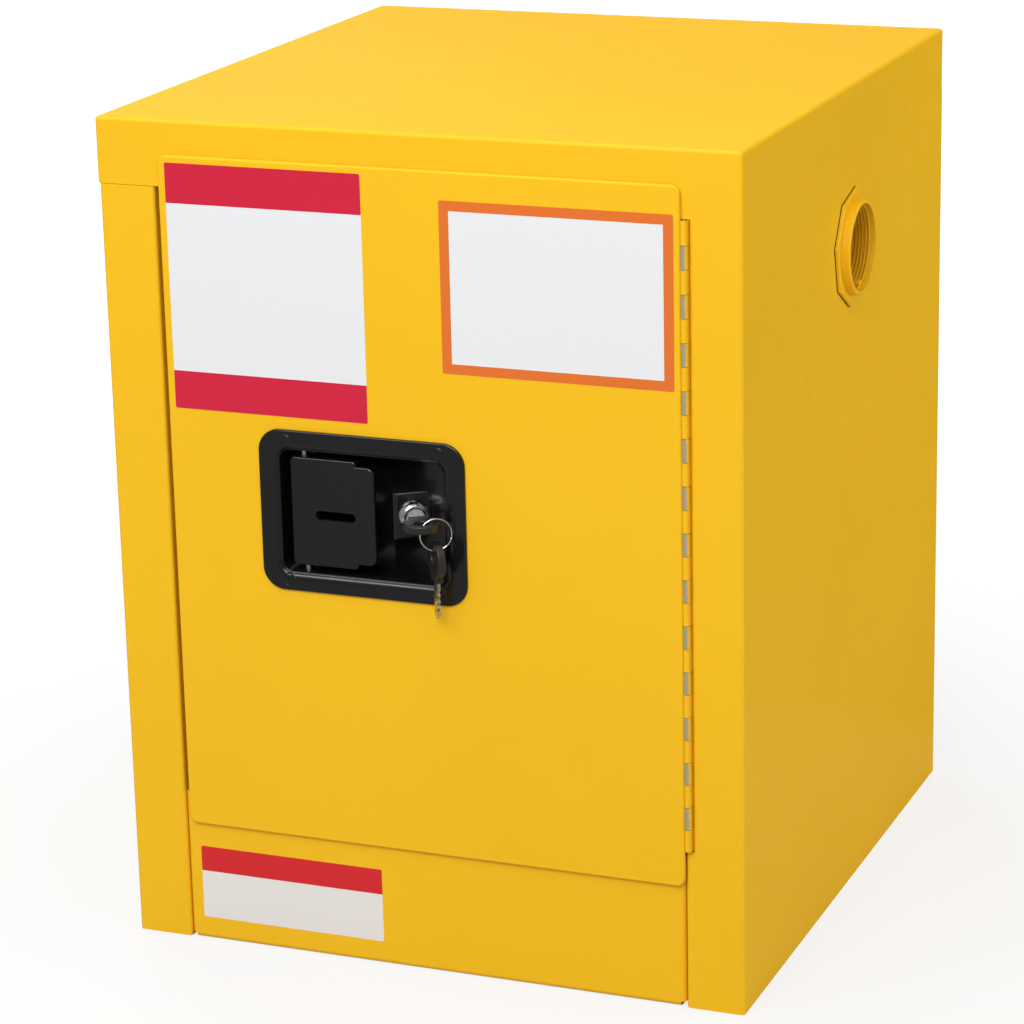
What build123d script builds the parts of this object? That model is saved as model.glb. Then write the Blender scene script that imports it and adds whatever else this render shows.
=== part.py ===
from build123d import *

import os
from math import cos, radians, sin, tan

# Small bench-top safety cabinet: a double-walled box of folded sheet steel with one hinged door,
# a recessed paddle latch with a key lock, two vents, a leak-proof sump and a lift-off shelf.
# Millimetres. Origin on the floor under the middle of the box, +X to the right, front facing -Y, +Z up.

# Box and sheet
cabinet_width = 432.0
cabinet_depth = 457.0
cabinet_height = 559.0
sheet = 1.2
bend = 2.4
wall_gap = 38.0
overrun = 5.0

# Front frame
cap_flange = 43.0
cap_lap = 20.0
cap_seam = 0.3
left_stile = 40.0
right_stile = 33.8
right_foot_stile = 38.6
jamb_depth = 42.0
sill_height = 108.0
sill_bend = 3.4
sill_gap = 0.7
head_leg = 24.0
pan_flange = 20.0

# Sump, liner and bearers
sump_depth = 50.0
bearer_width = 30.0
bearer_share = 0.25
bearer_end_gap = 30.0

# Door
door_proud = 3.0
door_thickness = 42.0
door_gap = 4.3
door_lap_top = 21.0
door_lap_bottom = 24.0
door_corner = 6.0
door_edge = 1.6
door_clear = 0.6
pan_inset = 4.7
pan_gap = 4.0
pan_lip = 12.0
pan_corner = 6.0
hinge_flange = 26.0
hinge_flange_gap = 2.0

# Piano hinge
barrel_radius = 2.3
hinge_pin_radius = 1.25
running_clearance = 0.06
hinge_forward = 1.6
leaf_width = 22.0
leaf_relief = 0.6
knuckle_count = 27
knuckle_gap = 0.35
hinge_end_gap = 0.6

# Latch dish
dish_from_edge = 134.7
dish_drop = 0.5
dish_width = 142.5
dish_height = 107.5
dish_corner = 15.0
dish_flange = 2.0
dish_edge = 1.2
mouth_width = 113.0
mouth_height = 81.0
mouth_corner = 8.0
mouth_lip = 2.0
dish_wall = 1.5
dish_depth = 24.0
ramp_depth = 5.5
ramp_run = 45.5
dish_cut_gap = 0.8
stud_radius = 2.5
stud_length = 9.0
stud_inset_x = 18.5
stud_inset_z = 7.5
stud_clear = 0.3
nut_across = 8.0
nut_sides = 6
nut_height = 4.0

# Paddle and latch bolt
paddle_left_gap = 6.5
paddle_width = 58.5
paddle_height = 72.5
paddle_plate = 2.6
paddle_rim = 2.0
paddle_rim_depth = 10.0
paddle_set_back = 1.5
paddle_corner = 3.0
paddle_edge = 1.6
tab_width = 12.5
tab_drop = 3.5
tab_corner = 5.0
tab_depth = 4.0
slot_length = 28.0
slot_height = 6.0
slot_x = 31.0
slot_drop = 1.5
pivot_x = 8.0
pivot_depth = 6.0
pivot_radius = 2.0
pin_overhang = 3.0
arm_reach = 25.2
arm_width = 5.0
arm_height = 8.0
arm_room = 2.0
paddle_swing = 28.0
bolt_thickness = 5.0
bolt_height = 18.0
bolt_setback = 1.6
bolt_tail = 12.0
bolt_bevel = 5.0
bolt_throw = 8.0
bolt_clear = 0.3
drive_clear = 0.4
window_room = 14.0
guide_sheet = 2.0
guide_length = 50.0
guide_foot = 12.0
guide_gap = 12.0
strike_thickness = 2.0
strike_width = 20.0
strike_height = 50.0
strike_clear = 1.2

# Lock and keys
lock_tilt = 35.0
lock_rise = 2.5
boss_inset = 15.5
boss_run = 19.5
boss_lean = 11.5
boss_height = 32.0
boss_corner = 2.8
lock_inset = 8.5
bezel_radius = 8.75
bezel_height = 7.0
bezel_edge = 1.4
cylinder_radius = 7.0
cylinder_length = 16.0
plug_radius = 6.0
plug_recess = 0.3
tail_radius = 2.5
tail_length = 15.0
cam_thickness = 2.0
cam_radius = 6.0
cam_reach = 12.0
cam_width = 8.0
cam_screw_radius = 4.5
cam_screw_height = 2.0
seat_clear = 0.05
blade_length = 22.0
blade_width = 7.0
blade_thickness = 2.0
blade_shoulder = 3.0
keyway_clear = 0.2
bitting_depth = 1.6
bitting_pitch = 4.0
bitting_count = 4
bitting_turn = 45.0
bow_radius = 12.0
bow_centre = 17.0
bow_neck = 11.0
bow_thickness = 5.0
bow_edge = 0.8
bow_hole = 5.0
bow_hole_shift = 3.0
ring_radius = 10.3
ring_wire = 0.7
ring_hang = 5.75
spare_gap = 0.8
spare_turn = -6.0

# Vents
vent_drop = 108.0
vent_rise = 60.0
vent_y = 2.0
vent_flange_radius = 39.5
vent_flange_sides = 8
vent_flange = 2.6
vent_flange_turn = 36.0
vent_flange_edge = 0.8
vent_neck_radius = 31.4
vent_neck = 5.6
vent_lip = 1.2
vent_bore = 29.0
vent_clear = 0.2
vent_ring_radius = 38.4
vent_ring = 4.0
vent_tail = 4.0
screen_thickness = 1.0
screen_hole = 2.4
screen_pitch = 7.0
screen_rings = 3

# Shelf
shelf_rise = 192.0
shelf_edge = 20.0
shelf_front_gap = 18.0
shelf_back_gap = 6.0
shelf_side_gap = 0.6
standard_depth = 4.0
standard_width = 16.0
standard_inset = 60.0
standard_foot = 22.0
standard_top_gap = 16.0
rung_pitch = 25.0
rung_width = 8.0
rung_height = 5.0
clip_width = 7.0
clip_ledge = 11.0
clip_height = 12.0
clip_sheet = 1.6

# Earthing stud
earth_from_side = 64.8
earth_z = 60.0
earth_radius = 3.0
earth_shank = 3.2
earth_shoulder = 0.3
earth_length = 18.0
earth_head_radius = 6.0
earth_head = 3.0
earth_nut_across = 10.0
earth_nut = 5.0
earth_washer_radius = 8.0
earth_washer = 1.6

# Planes of the box that the pieces share
left_x = -cabinet_width / 2
right_x = cabinet_width / 2
front_y = -cabinet_depth / 2
back_y = cabinet_depth / 2
left_outer = left_x + sheet
rear_outer = back_y - sheet
left_edge = left_x + left_stile
right_edge = right_x - right_stile
right_foot_edge = right_x - right_foot_stile
opening_top = cabinet_height - cap_flange
jamb_back = front_y + jamb_depth
liner_back = rear_outer - sheet - wall_gap
sump_floor = sill_height - sump_depth
vent_z = cabinet_height - vent_drop
vent_low_z = sill_height + vent_rise
shelf_z = sill_height + shelf_rise
earth_x = left_outer + earth_from_side

# Planes of the door
skin_y = front_y - door_proud
door_left = left_edge + door_gap
door_right = right_edge - 2 * barrel_radius
door_bottom = sill_height - door_lap_bottom
door_top = opening_top + door_lap_top
pan_left = door_left + pan_inset
pan_right = door_right - door_edge
pan_bottom = sill_height + pan_gap
pan_top = opening_top - pan_gap
pan_back = skin_y + door_thickness
hinge_x = right_edge - barrel_radius
hinge_y = front_y - hinge_forward

# Latch places
dish_x = door_left + dish_from_edge
dish_z = (door_bottom + door_top) / 2 - dish_drop
mouth_left = dish_x - mouth_width / 2
mouth_right = dish_x + mouth_width / 2
dish_face = skin_y - dish_flange
dish_floor = skin_y + dish_depth
ramp_end = mouth_right - ramp_run
ramp_slope = (dish_depth - ramp_depth) / ramp_run
paddle_left = mouth_left + paddle_left_gap
paddle_right = paddle_left + paddle_width
paddle_face = dish_face + paddle_set_back
paddle_tab = paddle_right - tab_width
pin_x = paddle_left + pivot_x
pin_y = paddle_face + pivot_depth
bolt_front = dish_floor + dish_wall + bolt_setback
bolt_back = bolt_front + bolt_thickness
bolt_tip = left_edge - bolt_throw
bolt_end = pin_x + bolt_tail
guide_right = mouth_left - guide_gap
guide_left = guide_right - guide_length

# Lock places: the lock plane lies on the boss face, its normal pointing out of the lock
boss_right = mouth_right - boss_inset
boss_left = boss_right - boss_run
boss_right_y = skin_y + ramp_depth + boss_inset * ramp_slope
boss_left_y = boss_right_y - boss_run * tan(radians(lock_tilt))
boss_heel = boss_left - boss_lean
lock_z = dish_z + lock_rise
lock_out = Vector(sin(radians(lock_tilt)), -cos(radians(lock_tilt)), 0)
lock_side = Vector(cos(radians(lock_tilt)), sin(radians(lock_tilt)), 0)
up = Vector(0, 0, 1)
lock_centre = Vector(boss_right - lock_inset, boss_right_y - lock_inset * tan(radians(lock_tilt)), lock_z)
lock_plane = Plane(origin=lock_centre, x_dir=lock_side, z_dir=lock_out)
bow_hole_x = bow_centre + bow_hole_shift
bow_web = bow_radius - bow_hole
key_origin = lock_centre + lock_out * (bezel_height - plug_recess)
key_plane = Plane(origin=key_origin, x_dir=lock_out, z_dir=up)
ring_centre = key_origin + lock_out * bow_hole_x + lock_side * (bow_hole + bow_web / 2) - up * ring_hang
ring_plane = Plane(origin=ring_centre, x_dir=lock_side, z_dir=lock_out)
spare_drop = ring_radius + bow_hole - ring_wire - spare_gap + bow_hole_x
spare_normal = lock_side * cos(radians(spare_turn)) + lock_out * sin(radians(spare_turn))
spare_plane = Plane(origin=ring_centre - up * spare_drop, x_dir=up, z_dir=spare_normal)

os.makedirs("parts", exist_ok=True)


def finish(builder, name):
    """Labels a finished piece and writes it to its own file."""
    builder.part.label = name
    export_step(builder.part, f"parts/{name}.step")


def span(low, high):
    """Draws a rectangle between two corners in the current sketch."""
    with Locations(((low[0] + high[0]) / 2, (low[1] + high[1]) / 2)):
        Rectangle(high[0] - low[0], high[1] - low[1])


def rounded_span(low, high, radius):
    """Draws a rectangle with rounded corners between two corners in the current sketch."""
    with Locations(((low[0] + high[0]) / 2, (low[1] + high[1]) / 2)):
        RectangleRounded(high[0] - low[0], high[1] - low[1], radius)


def folded(points, side, radius=bend):
    """Draws the section of a folded sheet whose outer face follows the points."""
    with BuildLine() as outline:
        FilletPolyline(*points, radius=radius)
        offset(amount=sheet, side=side)
    make_face(outline.edges())


def front_plane(y):
    """Plane at a depth y, seen from the front: X to the right, Z up, normal towards -Y."""
    return Plane(origin=(0, y, 0), x_dir=(1, 0, 0), z_dir=(0, -1, 0))


def side_plane(x):
    """Plane at a place x, seen from the right: Y to the right, Z up, normal towards +X."""
    return Plane(origin=(x, 0, 0), x_dir=(0, 1, 0), z_dir=(1, 0, 0))


# Top cap: a tray turned upside down, its flanges lapping the back and the left side
with BuildPart() as top_cap:
    with BuildSketch(Plane.XY.offset(opening_top)):
        span((left_x, front_y), (right_x, back_y))
    extrude(amount=cap_flange)
    fillet(top_cap.edges().group_by(Axis.Z)[-1] + top_cap.edges().filter_by(Axis.Z), bend)
    offset(amount=-sheet, openings=top_cap.faces().sort_by(Axis.Z)[0])
finish(top_cap, "top_cap")

# Left side: one sheet folded round the stile and back along the door jamb, slotted for the bolt
with BuildPart() as left_side_panel:
    with BuildSketch():
        folded(
            [(left_outer, rear_outer), (left_outer, front_y), (left_edge, front_y), (left_edge, jamb_back)],
            Side.LEFT,
        )
    extrude(amount=opening_top - cap_seam)
    with BuildSketch(Plane.XY.offset(opening_top - cap_seam)):
        span((left_outer, front_y + sheet + bend), (left_outer + sheet, rear_outer - bend))
    extrude(amount=cap_seam + cap_lap)
    with BuildSketch(side_plane(left_edge + overrun)):
        span(
            (bolt_front - strike_clear, dish_z - bolt_height / 2 - strike_clear),
            (bolt_back + strike_clear, dish_z + bolt_height / 2 + strike_clear),
        )
    extrude(amount=-left_stile / 2, mode=Mode.SUBTRACT)
    with BuildSketch(side_plane(left_outer - overrun)):
        with Locations((vent_y, vent_low_z)):
            Circle(vent_neck_radius + vent_clear)
    extrude(amount=2 * overrun, mode=Mode.SUBTRACT)
finish(left_side_panel, "left_side_panel")

# Right side: the stile stands back along the hinge and comes forward beside the sill
with BuildPart() as right_side_panel:
    with BuildSketch():
        folded(
            [
                (right_x, rear_outer),
                (right_x, front_y),
                (right_foot_edge, front_y),
                (right_foot_edge, jamb_back),
            ],
            Side.RIGHT,
        )
    extrude(amount=sill_height - hinge_end_gap)
    with BuildSketch(Plane.XY.offset(sill_height - hinge_end_gap)):
        folded(
            [(right_x, rear_outer), (right_x, front_y), (right_edge, front_y), (right_edge, jamb_back)],
            Side.RIGHT,
        )
    extrude(amount=opening_top - sill_height + hinge_end_gap)
    with BuildSketch(side_plane(right_x - overrun)):
        with Locations((vent_y, vent_z)):
            Circle(vent_neck_radius + vent_clear)
    extrude(amount=2 * overrun, mode=Mode.SUBTRACT)
finish(right_side_panel, "right_side_panel")

# Back: a sheet between the sides with a flange turned forward along each upright edge above the base
with BuildPart() as back_panel:
    with BuildSketch(Plane.XY.offset(pan_flange + sheet)):
        folded(
            [
                (left_outer + sheet, rear_outer - pan_flange),
                (left_outer + sheet, rear_outer),
                (right_x - sheet, rear_outer),
                (right_x - sheet, rear_outer - pan_flange),
            ],
            Side.RIGHT,
        )
    extrude(amount=opening_top - pan_flange - sheet)
    with BuildSketch(Plane.XY.offset(sheet)):
        span((left_outer + sheet + bend, rear_outer - sheet), (right_x - sheet - bend, rear_outer))
    extrude(amount=opening_top + cap_lap - sheet)
    with BuildSketch(front_plane(rear_outer + overrun)):
        with Locations((earth_x, earth_z)):
            Circle(earth_shank + seat_clear)
    extrude(amount=2 * overrun, both=True, mode=Mode.SUBTRACT)
finish(back_panel, "back_panel")

# Base: a shallow tray, its rim turned up inside the walls
with BuildPart() as base_pan:
    with BuildSketch():
        span((left_outer + sheet, jamb_back), (right_x - sheet, rear_outer - sheet))
    extrude(amount=pan_flange)
    fillet(base_pan.edges().group_by(Axis.Z)[0], bend)
    offset(amount=-sheet, openings=base_pan.faces().sort_by(Axis.Z)[-1])
finish(base_pan, "base_pan")

# Sill: front of the sump, its ends rolled back beside the stiles, its top folded into a threshold and its
# foot folded back to the base
with BuildPart() as sill_panel:
    with BuildSketch(Plane.XY.offset(sill_bend)):
        folded(
            [
                (left_edge + sill_gap, front_y + pan_flange),
                (left_edge + sill_gap, front_y),
                (right_foot_edge - sill_gap, front_y),
                (right_foot_edge - sill_gap, front_y + pan_flange),
            ],
            Side.LEFT,
            sill_bend,
        )
    extrude(amount=sill_height - 2 * sill_bend)
    with BuildSketch(Plane.YZ.offset(left_edge + sill_gap + sill_bend)):
        folded(
            [
                (jamb_back, 0),
                (front_y, 0),
                (front_y, sill_height),
                (jamb_back, sill_height),
            ],
            Side.RIGHT,
            sill_bend,
        )
    extrude(amount=right_foot_edge - left_edge - 2 * (sill_gap + sill_bend))
finish(sill_panel, "sill_panel")

# Head of the door frame: an angle behind the front flange of the cap
with BuildPart() as head_jamb:
    with BuildSketch(Plane.YZ.offset(left_edge)):
        folded(
            [
                (front_y + sheet, opening_top + head_leg),
                (front_y + sheet, opening_top),
                (jamb_back, opening_top),
            ],
            Side.LEFT,
        )
    extrude(amount=right_edge - left_edge)
finish(head_jamb, "head_jamb")

# Liner: side, back and top sheets of the inner box
with BuildPart() as left_liner:
    with BuildSketch(side_plane(left_edge)):
        span((jamb_back, sill_height), (liner_back, opening_top))
        with Locations((vent_y, vent_low_z)):
            Circle(vent_neck_radius + vent_clear, mode=Mode.SUBTRACT)
    extrude(amount=-sheet)
finish(left_liner, "left_liner")

with BuildPart() as right_liner:
    with BuildSketch(side_plane(right_edge)):
        span((jamb_back, sill_height), (liner_back, opening_top))
        with Locations((vent_y, vent_z)):
            Circle(vent_neck_radius + vent_clear, mode=Mode.SUBTRACT)
    extrude(amount=sheet)
finish(right_liner, "right_liner")

with BuildPart() as back_liner:
    with BuildSketch(front_plane(liner_back)):
        span((left_edge - sheet, sill_height), (right_edge + sheet, opening_top))
    extrude(amount=-sheet)
finish(back_liner, "back_liner")

with BuildPart() as top_liner:
    with BuildSketch(Plane.XY.offset(opening_top)):
        span((left_edge - sheet, jamb_back), (right_edge + sheet, liner_back + sheet))
    extrude(amount=sheet)
finish(top_liner, "top_liner")

# Sump tray under the liner, with its bearers on the base
with BuildPart() as sump_tray:
    with BuildSketch(Plane.XY.offset(sump_floor)):
        span((left_edge - sheet, jamb_back), (right_edge + sheet, liner_back + sheet))
    extrude(amount=sill_height - sump_floor)
    fillet(sump_tray.edges().group_by(Axis.Z)[0], bend)
    offset(amount=-sheet, openings=sump_tray.faces().sort_by(Axis.Z)[-1])
finish(sump_tray, "sump_tray")

with BuildPart() as tray_bearers:
    with BuildSketch(Plane.XZ.offset(-jamb_back - bearer_end_gap)):
        for share in (bearer_share, 1 - bearer_share):
            x = left_edge + share * (right_edge - left_edge)
            folded(
                [
                    (x - bearer_width / 2, sheet),
                    (x - bearer_width / 2, sump_floor),
                    (x + bearer_width / 2, sump_floor),
                    (x + bearer_width / 2, sheet),
                ],
                Side.RIGHT,
            )
    extrude(amount=-(liner_back - jamb_back - 2 * bearer_end_gap))
finish(tray_bearers, "tray_bearers")

# Door skin: a shallow tray with rolled edges, a flange for the hinge and a cut-out for the latch dish
with BuildPart() as door_skin:
    with BuildSketch(front_plane(front_y - door_clear)):
        rounded_span((door_left, door_bottom), (door_right, door_top), door_corner)
    extrude(amount=door_proud - door_clear)
    fillet(door_skin.edges().group_by(Axis.Y)[0], door_edge)
    offset(amount=-sheet, openings=door_skin.faces().sort_by(Axis.Y)[-1])
    with BuildSketch(front_plane(skin_y + sheet)):
        span(
            (door_right - sheet, sill_height + hinge_flange_gap),
            (door_right, opening_top - hinge_flange_gap),
        )
    extrude(amount=-hinge_flange)
    with BuildSketch(front_plane(skin_y - overrun)):
        rounded_span(
            (mouth_left - dish_wall - dish_cut_gap, dish_z - mouth_height / 2 - dish_wall - dish_cut_gap),
            (mouth_right + dish_wall + dish_cut_gap, dish_z + mouth_height / 2 + dish_wall + dish_cut_gap),
            mouth_corner,
        )
        with Locations((dish_x, dish_z)):
            with GridLocations(dish_width - 2 * stud_inset_x, dish_height - 2 * stud_inset_z, 2, 2):
                Circle(stud_radius + stud_clear)
    extrude(amount=-2 * overrun, mode=Mode.SUBTRACT)
finish(door_skin, "door_skin")

# Inner pan of the door: a box closed at the back, its rim turned in against the skin
with BuildPart() as door_inner_pan:
    with BuildSketch(front_plane(skin_y + sheet)):
        span((pan_left, pan_bottom), (pan_right, pan_top))
    extrude(amount=-(door_thickness - sheet))
    fillet(door_inner_pan.edges().group_by(Axis.Y)[-1], pan_corner)
    offset(amount=-sheet, openings=door_inner_pan.faces().sort_by(Axis.Y)[0])
    with BuildSketch(front_plane(skin_y + sheet)):
        span((pan_left, pan_bottom), (pan_right, pan_top))
        with Locations(((pan_left + pan_right) / 2, (pan_bottom + pan_top) / 2)):
            Rectangle(
                pan_right - pan_left - 2 * pan_lip,
                pan_top - pan_bottom - 2 * pan_lip,
                mode=Mode.SUBTRACT,
            )
    extrude(amount=-sheet)
    with BuildSketch(side_plane(pan_left - overrun)):
        span(
            (bolt_front - bolt_clear, dish_z - bolt_height / 2 - bolt_clear),
            (bolt_back + bolt_clear, dish_z + bolt_height / 2 + bolt_clear),
        )
    extrude(amount=2 * overrun, mode=Mode.SUBTRACT)
finish(door_inner_pan, "door_inner_pan")

# Piano hinge: two leaves with alternate knuckles on one pin
hinge_bottom = sill_height
hinge_length = opening_top - sill_height - 2 * hinge_end_gap
knuckle_pitch = hinge_length / knuckle_count


def hinge_leaf(side, first):
    """Builds a leaf: a plate on one side of the barrel and every second knuckle, from the first one up."""
    outer = side * barrel_radius
    inner = outer - side * sheet
    plate_y = barrel_radius + leaf_relief
    low_x, high_x = min(outer, inner), max(outer, inner)
    starts = [hinge_bottom + hinge_end_gap + knuckle_pitch * i for i in range(first, knuckle_count, 2)]
    with BuildSketch(Plane(origin=(hinge_x, hinge_y, hinge_bottom + hinge_end_gap))) as plate:
        span((low_x, plate_y), (high_x, plate_y + leaf_width))
    extrude(plate.sketch, amount=hinge_length)
    planes = [Plane(origin=(hinge_x, hinge_y, z + knuckle_gap / 2)) for z in starts]
    with BuildSketch(*planes) as knuckles:
        Circle(barrel_radius)
        span((low_x, 0), (high_x, plate_y + leaf_relief))
        Circle(hinge_pin_radius + running_clearance, mode=Mode.SUBTRACT)
    extrude(knuckles.sketch, amount=knuckle_pitch - knuckle_gap)


with BuildPart() as hinge_frame_leaf:
    hinge_leaf(1, 0)
finish(hinge_frame_leaf, "hinge_frame_leaf")

with BuildPart() as hinge_door_leaf:
    hinge_leaf(-1, 1)
finish(hinge_door_leaf, "hinge_door_leaf")

with BuildPart() as hinge_pin:
    with BuildSketch(Plane(origin=(hinge_x, hinge_y, hinge_bottom + knuckle_gap))):
        Circle(hinge_pin_radius)
    extrude(amount=hinge_length + hinge_end_gap)
finish(hinge_pin, "hinge_pin")

# Latch dish: a pocket with a deep end for the paddle, a ramp towards the lock and a lock boss on it
pocket_bottom = dish_z - mouth_height / 2


def pocket_section(grow, mouth_y):
    """Makes the plan of the pocket, grown by a wall, from the mouth to the deep end and the ramp."""
    with BuildLine() as outline:
        Polyline(
            (mouth_left - grow, mouth_y),
            (mouth_left - grow, dish_floor + grow),
            (ramp_end, dish_floor + grow),
            (mouth_right + grow, skin_y + ramp_depth + grow),
            (mouth_right + grow, mouth_y),
            close=True,
        )
    make_face(outline.edges())


with BuildPart() as pocket_core:
    with BuildSketch(Plane.XY.offset(pocket_bottom)):
        pocket_section(0, dish_face - overrun)
    extrude(amount=mouth_height)
    fillet(pocket_core.edges().filter_by(Axis.Y), mouth_corner - dish_wall)

with BuildPart() as lock_boss:
    with BuildSketch(Plane.XY.offset(lock_z - boss_height / 2)):
        with BuildLine():
            Polyline(
                (boss_right, boss_right_y),
                (boss_left, boss_left_y),
                (boss_heel, dish_floor + dish_wall / 2),
                (ramp_end, dish_floor + dish_wall / 2),
                (boss_right, boss_right_y + dish_wall / 2),
                close=True,
            )
        make_face()
    extrude(amount=boss_height)
    boss_face = lock_boss.faces().sort_by(Axis(lock_centre, lock_out))[-1]
    fillet(boss_face.edges().sort_by(Axis.X)[:-1], boss_corner)

with BuildPart() as latch_dish:
    with BuildSketch(Plane.XY.offset(pocket_bottom - dish_wall)):
        pocket_section(dish_wall, skin_y)
    extrude(amount=mouth_height + 2 * dish_wall)
    fillet(latch_dish.edges().filter_by(Axis.Y), mouth_corner)
    with BuildSketch(front_plane(skin_y)):
        with Locations((dish_x, dish_z)):
            RectangleRounded(dish_width, dish_height, dish_corner)
    extrude(amount=dish_flange)
    fillet(latch_dish.faces().sort_by(Axis.Y)[0].edges(), dish_edge)
    add(pocket_core.part, mode=Mode.SUBTRACT)
    fillet(latch_dish.faces().sort_by(Axis.Y)[0].inner_wires().edges(), mouth_lip)
    add(lock_boss.part)
    with BuildSketch(lock_plane):
        Circle(cylinder_radius + seat_clear)
    extrude(amount=-(cylinder_length + seat_clear), mode=Mode.SUBTRACT)
    with BuildSketch(lock_plane):
        Circle(tail_radius + running_clearance)
    extrude(amount=-(cylinder_length + tail_length + overrun), mode=Mode.SUBTRACT)
    with BuildSketch(front_plane(dish_floor - overrun)):
        span(
            (pin_x - arm_width / 2 - arm_room, dish_z - arm_height / 2 - arm_room),
            (
                pin_x + arm_reach * sin(radians(paddle_swing)) + arm_room,
                dish_z + arm_height / 2 + arm_room,
            ),
        )
    extrude(amount=-2 * overrun, mode=Mode.SUBTRACT)
    with BuildSketch(Plane(origin=(pin_x, pin_y, pocket_bottom - pin_overhang - overrun))):
        Circle(pivot_radius + seat_clear)
    extrude(amount=mouth_height + 2 * (pin_overhang + overrun), mode=Mode.SUBTRACT)
finish(latch_dish, "latch_dish")

# Studs on the back of the dish flange, with the nuts that hold it to the skin
with BuildPart() as dish_studs:
    with BuildSketch(front_plane(skin_y)):
        with Locations((dish_x, dish_z)):
            with GridLocations(dish_width - 2 * stud_inset_x, dish_height - 2 * stud_inset_z, 2, 2):
                Circle(stud_radius)
    extrude(amount=-stud_length)
finish(dish_studs, "dish_studs")

with BuildPart() as dish_nuts:
    with BuildSketch(front_plane(skin_y + sheet)):
        with Locations((dish_x, dish_z)):
            with GridLocations(dish_width - 2 * stud_inset_x, dish_height - 2 * stud_inset_z, 2, 2):
                RegularPolygon(nut_across / 2, nut_sides, major_radius=False)
                Circle(stud_radius + seat_clear, mode=Mode.SUBTRACT)
    extrude(amount=-nut_height)
finish(dish_nuts, "dish_nuts")

# Paddle: a shallow box with a finger tab, hung on the pivot pin, and an arm that draws the bolt
paddle_bottom = dish_z - paddle_height / 2
paddle_top = dish_z + paddle_height / 2
with BuildPart() as paddle:
    with BuildSketch(front_plane(paddle_face)):
        span((paddle_left, paddle_bottom), (paddle_tab, paddle_top))
    extrude(amount=-paddle_rim_depth)
    fillet(paddle.edges().filter_by(Axis.Y), paddle_corner)
    with BuildSketch(front_plane(paddle_face + paddle_plate)):
        span(
            (paddle_left + paddle_rim, paddle_bottom + paddle_rim),
            (paddle_tab + overrun, paddle_top - paddle_rim),
        )
    extrude(amount=-paddle_rim_depth, mode=Mode.SUBTRACT)
    with BuildSketch(front_plane(paddle_face)):
        span(
            (paddle_tab - tab_width, paddle_bottom + tab_drop),
            (paddle_right - tab_corner, paddle_top - tab_drop),
        )
        rounded_span(
            (paddle_tab, paddle_bottom + tab_drop),
            (paddle_right, paddle_top - tab_drop),
            tab_corner,
        )
    extrude(amount=-paddle_plate)
    with BuildSketch(front_plane(paddle_face + paddle_plate)):
        span(
            (paddle_right - tab_depth, paddle_bottom + tab_drop + tab_corner),
            (paddle_right - tab_depth + paddle_rim, paddle_top - tab_drop - tab_corner),
        )
    extrude(amount=-tab_depth)
    with BuildSketch(front_plane(paddle_face - overrun)):
        with Locations((paddle_left + slot_x, dish_z - slot_drop)):
            SlotOverall(slot_length, slot_height)
    extrude(amount=-2 * overrun, mode=Mode.SUBTRACT)
    with BuildSketch(Plane.XY.offset(dish_z - arm_height / 2)):
        span((pin_x - arm_width / 2, paddle_face + paddle_plate), (pin_x + arm_width / 2, pin_y + arm_reach))
        with Locations((pin_x, pin_y + arm_reach)):
            Circle(arm_width / 2)
        with Locations((pin_x, pin_y)):
            Circle(pivot_radius + paddle_rim)
    extrude(amount=arm_height)
    with BuildSketch(Plane(origin=(pin_x, pin_y, paddle_bottom - overrun))):
        Circle(pivot_radius + running_clearance)
    extrude(amount=paddle_height + 2 * overrun, mode=Mode.SUBTRACT)
    fillet(paddle.faces().sort_by(Axis.Y)[0].outer_wire().edges(), paddle_edge)
finish(paddle, "paddle")

with BuildPart() as paddle_pin:
    with BuildSketch(Plane(origin=(pin_x, pin_y, pocket_bottom - pin_overhang))):
        Circle(pivot_radius)
    extrude(amount=mouth_height + 2 * pin_overhang)
finish(paddle_pin, "paddle_pin")

# Latch bolt: a flat bar with a bevelled tip and a window for the arm
arm_tip_x = pin_x + arm_width / 2
with BuildPart() as latch_bolt:
    with BuildSketch(Plane.XY.offset(dish_z - bolt_height / 2)):
        with BuildLine():
            Polyline(
                (bolt_tip, bolt_front),
                (bolt_end, bolt_front),
                (bolt_end, bolt_back),
                (bolt_tip + bolt_bevel, bolt_back),
                (bolt_tip, bolt_front + bolt_thickness / 2),
                close=True,
            )
        make_face()
    extrude(amount=bolt_height)
    with BuildSketch(front_plane(bolt_front - overrun)):
        span(
            (arm_tip_x + drive_clear - window_room, dish_z - arm_height / 2 - arm_room),
            (arm_tip_x + drive_clear, dish_z + arm_height / 2 + arm_room),
        )
    extrude(amount=-(bolt_thickness + 2 * overrun), mode=Mode.SUBTRACT)
finish(latch_bolt, "latch_bolt")

# Bolt guide: a hat section on the back of the inner pan
guide_low = dish_z - bolt_height / 2 - bolt_clear
guide_high = dish_z + bolt_height / 2 + bolt_clear
pan_inner = pan_back - sheet
with BuildPart() as bolt_guide:
    with BuildSketch(Plane.YZ.offset(guide_left)):
        with BuildLine():
            Polyline(
                (pan_inner, guide_low - guide_sheet - guide_foot),
                (pan_inner, guide_low),
                (bolt_front - bolt_clear, guide_low),
                (bolt_front - bolt_clear, guide_high),
                (pan_inner, guide_high),
                (pan_inner, guide_high + guide_sheet + guide_foot),
                (pan_inner - guide_sheet, guide_high + guide_sheet + guide_foot),
                (pan_inner - guide_sheet, guide_high + guide_sheet),
                (bolt_front - bolt_clear - guide_sheet, guide_high + guide_sheet),
                (bolt_front - bolt_clear - guide_sheet, guide_low - guide_sheet),
                (pan_inner - guide_sheet, guide_low - guide_sheet),
                (pan_inner - guide_sheet, guide_low - guide_sheet - guide_foot),
                close=True,
            )
        make_face()
    extrude(amount=guide_length)
finish(bolt_guide, "bolt_guide")

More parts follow.
